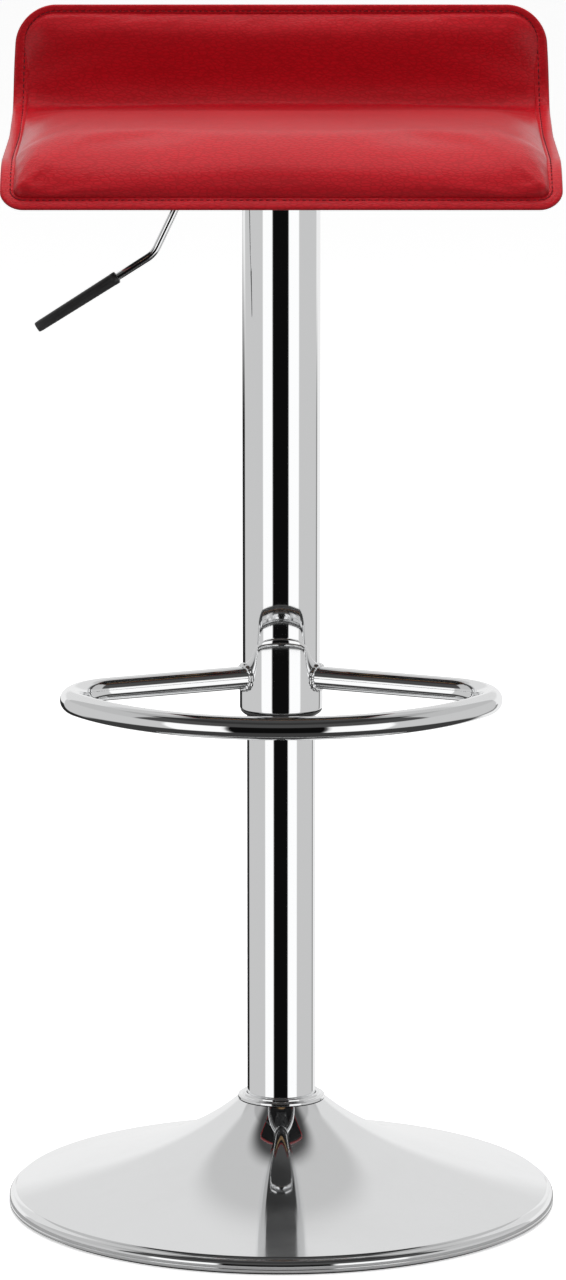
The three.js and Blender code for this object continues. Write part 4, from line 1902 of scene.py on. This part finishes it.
@dataclass
class PaddedSeat:
    """The upholstered seat: a stuffed cushion, the sewn edge round it, its stitches and its board.

    Attributes:
        form: the profile and outline.
        seam: distance of the seam from the outer edge.
        back_seam: the same along the top of the lip, where the edge is narrower.
        crown: height of the cushion over the seam.
        crown_span: distance over which the cushion rises.
        crease: how much thinner the padding is where the lip bends up.
        crease_reach: distance over which it thins.
        belly: depth of the underside.
        belly_span: distance over which the underside falls.
        front_lift: how much shallower the underside is along the front.
        slack_share: how far the underside swells, as a share of the top's swelling.
        cloth_top: height at which the black cloth of the underside ends and the red cover begins.
        board_inset: distance of the board's edge from the outer edge.
        cap: the most that the cushion may swell.
        edge_half: half of the sewn edge's thickness.
        stitch_line: distance of the stitches from the outer edge.
        stitch_pitch: length of one stitch with its gap.
    """

    form: SeatForm = field(default_factory=SeatForm)
    seam: float = 8.4
    back_seam: float = 5.4
    crown: float = 17.2
    crown_span: float = 36.0
    crease: float = 19.0
    crease_reach: float = 55.0
    belly: float = 16.0
    belly_span: float = 13.0
    front_lift: float = 3.0
    slack_share: float = 0.3
    cloth_top: float = 752.0
    board_inset: float = 24.0
    cap: float = 2.8
    edge_half: float = 1.5
    stitch_line: float = 7.1
    stitch_pitch: float = 4.4

    def build(self, nodes: dict[str, bpy.types.Object], finishes: Finishes) -> None:
        """Builds and dresses the seat.

        Args:
            nodes: the frame's nodes.
            finishes: the stool's finishes.
        """
        cushion = self._cushion()
        shells = ("seat_cover_top", "seat_cover_bottom", "seat_foam")
        mount(cushion, finishes, Body.SEAT, Slot.LEATHERETTE, *shells)
        cushion.data.materials.append(finishes.by_slot[Slot.BLACK_CLOTH])
        for face in cushion.data.polygons:
            under = face.index % 2 == 1
            face.material_index = int(under and face.center.z < self.cloth_top * MM)
        mount(self._edge(), finishes, Body.SEAT, Slot.LEATHERETTE)
        for label, side in (("top", 1), ("under", -1)):
            stitches = mount(self._stitches(label, side), finishes, Body.SEAT, Slot.LEATHERETTE)
            finishes.dress(stitches, Slot.LEATHERETTE, finishes.thread)
        dress_cad(nodes, finishes, Slot.PLYWOOD, "seat_board")

    @staticmethod
    def _puff(distance: float, span: float) -> float:
        """Rises from 0 to 1 over a span, steep first, like a stuffed edge."""
        t = min(max(distance / span, 0.0), 1.0)
        return math.sqrt(1 - (1 - t) ** 2)

    def _rise(self, u: float, s: float) -> float:
        """Height of the cushion's top over the seam before it swells."""
        pull = self.crease * math.exp(-(((s - self.form.bend_middle) / self.crease_reach) ** 2))
        return (self.crown - pull) * self._puff(self._inside(u, s), self.crown_span)

    def _drop(self, u: float, s: float) -> float:
        """Depth of the cushion's underside below the seam."""
        lift = self.front_lift * math.exp(-(((s - self.form.front_end) / 45.0) ** 2))
        return -(self.belly - lift) * self._puff(self._inside(u, s), self.belly_span)

    def _inset(self, s: float) -> float:
        """The seam's distance from the outer edge, which narrows towards the lip's top."""
        back = 1.0 - min((self.form.length - s) / (2 * self.form.back_corner), 1.0)
        return self.seam + (self.back_seam - self.seam) * min(2.0 * back, 1.0)

    def _inside(self, u: float, s: float) -> float:
        """Distance from the seam to a point of the cushion."""
        return self.form.edge_distance(u, s) - self._inset(s)

    def _steps(self, reach: float, middle: float) -> list[float]:
        """Distances from one edge to the other, close together by both edges.

        Args:
            reach: the whole distance.
            middle: the widest spacing, away from the edges.

        Returns:
            The distances, from 0 to reach.
        """
        near = [0.0, 1.2, 2.8, 4.8, 7.4, 10.6, 14.6, 19.2, 24.4, 30.0]
        inner = reach - 2 * near[-1]
        count = math.ceil(inner / middle)
        mid = [near[-1] + inner * step / count for step in range(1, count)]
        return near + mid + [reach - step for step in reversed(near)]

    def _cushion(self) -> bpy.types.Object:
        """The closed cushion: two panels that share the seam, swollen as cloth, then gathered.

        Returns:
            The cushion.
        """
        form = self.form
        first = form.front_end + self.seam
        rows = [first + step for step in self._steps(form.length - self.back_seam - first, 5.8)]
        wide = form.half_width - self.seam
        shares = [step / wide - 1.0 for step in self._steps(2 * wide, 5.8)]
        across = len(shares)
        places = [(share * form.half_at(s, self._inset(s)), s) for s in rows for share in shares]
        top = [form.point(u, s, self._rise(u, s)) for u, s in places]
        under = [form.point(u, s, self._drop(u, s)) for u, s in places]

        def on_seam(index: int) -> bool:
            """Whether a grid point lies on the seam."""
            row, column = divmod(index, across)
            return row in (0, len(rows) - 1) or column in (0, across - 1)

        points = list(top)
        lower: dict[int, int] = {}
        for index, point in enumerate(under):
            if on_seam(index):
                lower[index] = index
            else:
                lower[index] = len(points)
                points.append(point)
        faces = []
        for row in range(len(rows) - 1):
            for column in range(across - 1):
                a = row * across + column
                quad = (a, a + 1, a + across + 1, a + across)
                faces.append(quad)
                faces.append(tuple(lower[index] for index in reversed(quad)))
        held = [index for index in range(len(top)) if on_seam(index)]
        held += [
            lower[index]
            for index, (u, s) in enumerate(places)
            if not on_seam(index) and form.edge_distance(u, s) > self.board_inset
        ]
        cushion = piece("seat_cushion", points, faces, crease_deg=180.0)
        self._swell(cushion, held, len(top))
        self._gather(cushion, places, lower)
        smooth = cushion.modifiers.new("finer", "SUBSURF")
        smooth.levels = 1
        smooth.render_levels = 1
        return cushion

    def _swell(self, cushion: bpy.types.Object, held: Sequence[int], top_count: int) -> None:
        """Inflates the cushion as cloth and limits how far each point moves.

        Args:
            cushion: the cushion, whose mesh is changed.
            held: the vertices that stay on the seam or on the board.
            top_count: how many vertices the top panel has, which come first.
        """
        scene = bpy.context.scene
        pins = cushion.vertex_groups.new(name="held")
        pins.add(list(held), 1.0, "REPLACE")
        cloth = cushion.modifiers.new("swell", "CLOTH")
        settings = cloth.settings
        settings.quality = 6
        settings.mass = 0.35
        settings.tension_stiffness = 12.0
        settings.compression_stiffness = 12.0
        settings.shear_stiffness = 6.0
        settings.bending_stiffness = 0.6
        settings.use_pressure = True
        settings.uniform_pressure_force = 4.0
        settings.shrink_min = -0.002
        settings.vertex_group_mass = pins.name
        settings.effector_weights.gravity = 0.0
        cloth.collision_settings.use_collision = False
        cloth.collision_settings.use_self_collision = False
        scene.frame_start = 1
        scene.frame_end = 20
        cloth.point_cache.frame_start = 1
        cloth.point_cache.frame_end = 20
        for frame in range(1, 21):
            scene.frame_set(frame)
        graph = bpy.context.evaluated_depsgraph_get()
        swollen = cushion.evaluated_get(graph).to_mesh()
        count = len(cushion.data.vertices)
        before = np.empty(count * 3)
        after = np.empty(count * 3)
        cushion.data.vertices.foreach_get("co", before)
        swollen.vertices.foreach_get("co", after)
        cushion.evaluated_get(graph).to_mesh_clear()
        cushion.modifiers.remove(cloth)
        move = (after - before).reshape(-1, 3)
        far = np.linalg.norm(move, axis=1, keepdims=True)
        limit = self.cap * MM
        eased = limit * np.tanh(far / limit)
        move *= np.where(far > 1e-9, eased / np.maximum(far, 1e-9), 0.0)
        move[top_count:] *= self.slack_share
        cushion.data.vertices.foreach_set("co", (before.reshape(-1, 3) + move).ravel())
        cushion.data.update()
        scene.frame_set(1)
        LOG.info("seat_cushion swelled by up to %.1f mm", float(far.max()) / MM)

    def _gather(
        self, cushion: bpy.types.Object, places: Sequence[Point2], lower: dict[int, int]
    ) -> None:
        """Draws the cover into small pulls along the seam and into the corners.

        Args:
            cushion: the cushion, whose mesh is changed.
            places: (u, s) of the grid points.
            lower: the underside's vertex for each grid point.
        """
        mesh = cushion.data
        normals = [vertex.normal.copy() for vertex in mesh.vertices]
        for index, (u, s) in enumerate(places):
            distance = self._inside(u, s)
            if distance < 0.5:
                continue
            end, _ = self.form.corner(s)
            side = self.form.half_width - abs(u)
            along = u if end < side else s
            near = math.exp(-(((distance - 5.0) / 9.0) ** 2))
            cornered = math.exp(-((max(end, side) - 10.0) / 38.0))
            bend = math.exp(-(((s - self.form.bend_middle) / 26.0) ** 2)) if side < end else 0.0
            pull = noise.noise(Vector((along * 0.16, distance * 0.03, 2.0 if end < side else 7.0)))
            depth = near * (0.28 + 0.75 * min(cornered, 1.0) + 0.8 * bend) * pull
            broad = 0.5 * noise.noise(Vector((u * 0.012, s * 0.02, 1.5)))
            soft = self._puff(distance, 60.0)
            for vertex, share in ((index, 1.0), (lower[index], 0.35)):
                mesh.vertices[vertex].co += normals[vertex] * ((depth + broad * soft * share) * share * MM)
        mesh.update()

    def _narrowing(self, js: float) -> float:
        """How wide the sewn edge is, as a share, for the direction that leads inwards."""
        return 1.0 - (1.0 - self.back_seam / self.seam) * max(-js, 0.0)

    def _edge(self) -> bpy.types.Object:
        """The folded edge round the seat, dimpled where each stitch draws it in.

        Returns:
            The sewn edge.
        """
        per_stitch = 4
        half = self.edge_half
        top = [
            (0.0, 0.0),
            (0.12, 0.62),
            (0.5, 1.1),
            (1.1, 1.4),
            (2.2, half),
            (4.4, half),
            (5.8, half - 0.08),
            (6.6, half - 0.3),
            (self.stitch_line, half - 0.52),
            (7.6, half - 0.3),
            (8.4, half - 0.25),
            (self.seam + 2.0, 0.4),
        ]
        section = top + [(d, -h) for d, h in reversed(top[1:])]
        rings = []
        points = self.form.outline(self.stitch_pitch / per_stitch)
        for index, (u, s, iu, js) in enumerate(points):
            dimple = 0.5 + 0.5 * math.cos(2 * math.pi * index / per_stitch)
            sway = 0.22 * noise.noise(Vector((u * 0.03, s * 0.03, 0.5)))
            ring = []
            narrow = self._narrowing(js)
            for d, h in section:
                draw = math.exp(-(((d - self.stitch_line) / 1.5) ** 2)) * 0.3 * dimple
                lift = math.copysign(max(abs(h) - draw, 0.0), h)
                reach = d * narrow
                ring.append(
                    self.form.point(u + reach * iu, s + reach * js, lift + sway * min(d / 4.0, 1.0))
                )
            rings.append(ring)
        return lofted("seat_sewn_edge", rings, looped=True, crease_deg=75.0)

    def _stitches(self, label: str, side: int) -> bpy.types.Object:
        """The row of stitches along one face of the sewn edge.

        Args:
            label: which face, for the name.
            side: 1 for the top and -1 for the underside.

        Returns:
            All the stitches as one piece.
        """
        points = []
        faces = []
        rounds = self.form.outline(self.stitch_pitch)
        step_u = self.form.outline(self.stitch_pitch / 2)
        shape = ((-1.0, 0.25), (-0.82, 0.8), (0.0, 1.0), (0.82, 0.8), (1.0, 0.25))
        length = self.stitch_pitch * 0.33
        thread = 0.42
        sides = 8
        for index in range(len(rounds)):
            u, s, iu, js = step_u[(2 * index + 1) % len(step_u)]
            inset = self.stitch_line * self._narrowing(js)
            u += inset * iu
            s += inset * js
            forward = (js, -iu)
            start = len(points)
            for along, girth in shape:
                centre_h = self.edge_half - 0.42 - 0.2 * along * along
                for corner in range(sides):
                    angle = 2 * math.pi * corner / sides
                    across = thread * girth * math.cos(angle)
                    h = side * (centre_h + thread * girth * math.sin(angle))
                    points.append(
                        self.form.point(
                            u + forward[0] * along * length + iu * across,
                            s + forward[1] * along * length + js * across,
                            h,
                        )
                    )
            for row in range(len(shape) - 1):
                for corner in range(sides):
                    after = (corner + 1) % sides
                    a = start + row * sides
                    faces.append((a + corner, a + after, a + sides + after, a + sides + corner))
            faces.append(tuple(start + corner for corner in reversed(range(sides))))
            last = start + (len(shape) - 1) * sides
            faces.append(tuple(last + corner for corner in range(sides)))
        return piece(f"seat_stitches_{label}", points, faces, crease_deg=80.0)


# ---- Studio ----


@dataclass
class Studio:
    """The floor, the lights, the surroundings that the chrome mirrors, and the camera.

    Attributes:
        floor_half: half of the floor's width, in metres.
        plinth: radius of the part of the floor that chrome mirrors, in metres.
        camera_at: the camera's place, in metres.
        camera_tilt_deg: the camera's tilt from straight down.
        lens: focal length for a 36 mm wide sensor.
    """

    floor_half: float = 40.0
    plinth: float = 0.23
    camera_at: tuple[float, float, float] = (0.0012, -4.8, 1.3335)
    camera_tilt_deg: float = 79.05
    lens: float = 197.0

    def build(self) -> None:
        """Builds the studio."""
        self._floor()
        self._surroundings()
        self._lights()
        self._camera()

    def _floor(self) -> None:
        """A pale floor in two flush parts, of which only the middle shows in the chrome."""
        build = bmesh.new()
        bmesh.ops.create_circle(build, cap_ends=True, radius=self.plinth, segments=128)
        mesh = bpy.data.meshes.new("floor_middle")
        build.to_mesh(mesh)
        build.free()
        middle = bpy.data.objects.new("floor_middle", mesh)
        reach = self.floor_half
        ring = [Vector((math.cos(a), math.sin(a), 0.0)) for a in (2 * math.pi * i / 128 for i in range(128))]
        points = [p * self.plinth for p in ring] + [p * reach for p in ring]
        faces = [(i, (i + 1) % 128, 128 + (i + 1) % 128, 128 + i) for i in range(128)]
        sweep_mesh = bpy.data.meshes.new("floor_sweep")
        sweep_mesh.from_pydata(points, [], [face[::-1] for face in faces])
        sweep = bpy.data.objects.new("floor_sweep", sweep_mesh)
        sweep.visible_glossy = False
        material = self._floor_material()
        for obj in (middle, sweep):
            obj.data.materials.append(material)
            bpy.context.scene.collection.objects.link(obj)

    @staticmethod
    def _floor_material() -> bpy.types.Material:
        """Matt white paper with a little light of its own, so shadows stay soft and pale.

        Returns:
            The material.
        """
        material = bpy.data.materials.new("white_paper")
        material.use_nodes = True
        sheet = NodeSheet(material.node_tree)
        shader = material.node_tree.nodes["Principled BSDF"]
        fibre = sheet.noise(sheet.place(), 3.0)
        sheet.link(sheet.ramp(fibre.outputs["Fac"], 0.0, 1.0, (0.88, 0.92)), shader.inputs["Roughness"])
        shader.inputs["Base Color"].default_value = (0.9, 0.9, 0.9, 1.0)
        shader.inputs["Specular IOR Level"].default_value = 0.1
        glow = sheet.add("Emission")
        glow.inputs["Strength"].default_value = 0.62
        seen = sheet.add("AddShader")
        sheet.link(shader.outputs[0], seen.inputs[0])
        sheet.link(glow.outputs[0], seen.inputs[1])
        bounced = sheet.add("BsdfDiffuse")
        bounced.inputs["Color"].default_value = (0.42, 0.42, 0.42, 1.0)
        ray = sheet.add("LightPath")
        choose = sheet.add("MixShader")
        sheet.link(ray.outputs["Is Camera Ray"], choose.inputs[0])
        sheet.link(bounced.outputs[0], choose.inputs[1])
        sheet.link(seen.outputs[0], choose.inputs[2])
        sheet.link(choose.outputs[0], material.node_tree.nodes["Material Output"].inputs["Surface"])
        return material

    @staticmethod
    def _panels(
        sheet: NodeSheet, turn: bpy.types.NodeSocket, stops: Sequence[Point2]
    ) -> bpy.types.NodeSocket:
        """Lays grey panels round the horizon with narrow soft joints.

        Args:
            sheet: the world's nodes.
            turn: direction round the stool, from 0 to 1, with 0.5 at the front.
            stops: (degrees from the front where a panel ends, brightness), from -180 on.

        Returns:
            The panels' colour.
        """
        ramp = sheet.add("ValToRGB")
        sheet.link(turn, ramp.inputs["Fac"])
        soft = 1.2
        marks: list[Point2] = []
        begin = -180.0
        for end, level in stops:
            marks.append((begin + soft, level))
            marks.append((end - soft, level))
            begin = end
        elements = ramp.color_ramp.elements
        for index, (degrees, level) in enumerate(marks):
            place = (degrees + 180.0) / 360.0
            element = elements[index] if index < 2 else elements.new(place)
            element.position = place
            element.color = (level, level, level, 1.0)
        return ramp.outputs["Color"]

    def _surroundings(self) -> None:
        """Light panels, dark gaps and a pale ceiling, laid out by direction only."""
        world = bpy.data.worlds.new("studio")
        world.use_nodes = True
        sheet = NodeSheet(world.node_tree)
        output = world.node_tree.nodes["Background"]
        direction = sheet.add("SeparateXYZ")
        sheet.link(sheet.add("TexCoord").outputs["Generated"], direction.inputs[0])
        ahead = sheet.math("MULTIPLY", direction.outputs["Y"], -1.0)
        azimuth = sheet.math("ARCTAN2", direction.outputs["X"], ahead)
        turn = sheet.math("ADD", sheet.math("DIVIDE", azimuth, 2 * math.pi), 0.5)
        height = sheet.math("MULTIPLY", sheet.math("ARCSINE", direction.outputs["Z"]), 180 / math.pi)
        level = self._panels(
            sheet,
            turn,
            (
                (-170, 0.88),
                (-138, 0.02),
                (-56, 0.59),
                (-26, 1.05),
                (22, 0.004),
                (54, 1.05),
                (127, 0.59),
                (135, 0.25),
                (180, 0.88),
            ),
        )
        open_back = self._panels(
            sheet,
            turn,
            ((-134, 0.88), (-56, 0.59), (-26, 1.05), (22, 0.004), (54, 1.05), (127, 0.59), (180, 0.88)),
        )
        low = sheet.mix(sheet.ramp(height, -9.0, -5.0), level, open_back)
        middle = self._panels(sheet, turn, ((-128, 0.74), (-74, 0.52), (74, 0.07), (128, 0.52), (180, 0.74)))
        high = self._panels(sheet, turn, ((-112, 0.56), (-84, 0.42), (84, 0.035), (112, 0.42), (180, 0.56)))
        lower = sheet.mix(sheet.ramp(height, 12.0, 20.0), low, middle)
        upper = sheet.mix(sheet.ramp(height, 42.0, 50.0), lower, high)
        capped = sheet.mix(sheet.ramp(height, 62.0, 72.0), upper, (0.06, 0.06, 0.06, 1.0))
        mirrored = sheet.mix(sheet.ramp(height, -34.0, -40.0), capped, (0.045, 0.045, 0.045, 1.0))
        sky = sheet.ramp(height, -10.0, 80.0, (0.16, 0.5))
        ray = sheet.add("LightPath")
        lit = sheet.mix(ray.outputs["Is Glossy Ray"], sky, mirrored)
        seen = sheet.mix(ray.outputs["Is Camera Ray"], lit, (1.0, 1.0, 1.0, 1.0))
        sheet.link(seen, output.inputs["Color"])
        bpy.context.scene.world = world

    @staticmethod
    def _lights() -> None:
        """Two large soft lights overhead, the stronger one behind the seat."""
        for name, place, size, power in (
            ("overhead_light", (0.0, 0.35, 2.6), 1.6, 40.0),
            ("front_fill_light", (0.0, -2.8, 2.6), 1.6, 46.0),
        ):
            lamp = bpy.data.lights.new(name, "AREA")
            lamp.shape = "SQUARE"
            lamp.size = size
            lamp.energy = power
            light = bpy.data.objects.new(name, lamp)
            light.location = place
            light.visible_glossy = False
            aim = Vector((0.0, 0.0, 0.6)) - Vector(place)
            light.rotation_euler = aim.to_track_quat("-Z", "Y").to_euler()
            bpy.context.scene.collection.objects.link(light)

    def _camera(self) -> None:
        """The camera, a little above the seat and square to the front."""
        data = bpy.data.cameras.new("camera")
        data.lens = self.lens
        data.sensor_width = 36.0
        data.clip_start = 0.1
        data.clip_end = 120.0
        camera = bpy.data.objects.new("camera", data)
        camera.location = self.camera_at
        camera.rotation_euler = (math.radians(self.camera_tilt_deg), 0.0, 0.0)
        bpy.context.scene.collection.objects.link(camera)
        bpy.context.scene.camera = camera


def main() -> None:
    """Builds the whole stool and its studio."""
    logging.basicConfig(level=logging.INFO, format="%(message)s")
    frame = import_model()
    nodes = frame["nodes"]
    bpy.context.scene.view_settings.view_transform = "Standard"
    finishes = Finishes()
    Studio().build()
    TrumpetBase().build(nodes, finishes)
    Column().build(nodes, finishes)
    Sleeve().build(finishes)
    Footrest().build(finishes)
    SeatMount().build(nodes, finishes)
    HeightLever().build(nodes, finishes)
    PaddedSeat().build(nodes, finishes)
    bpy.context.view_layer.update()


if __name__ == "__main__":
    main()
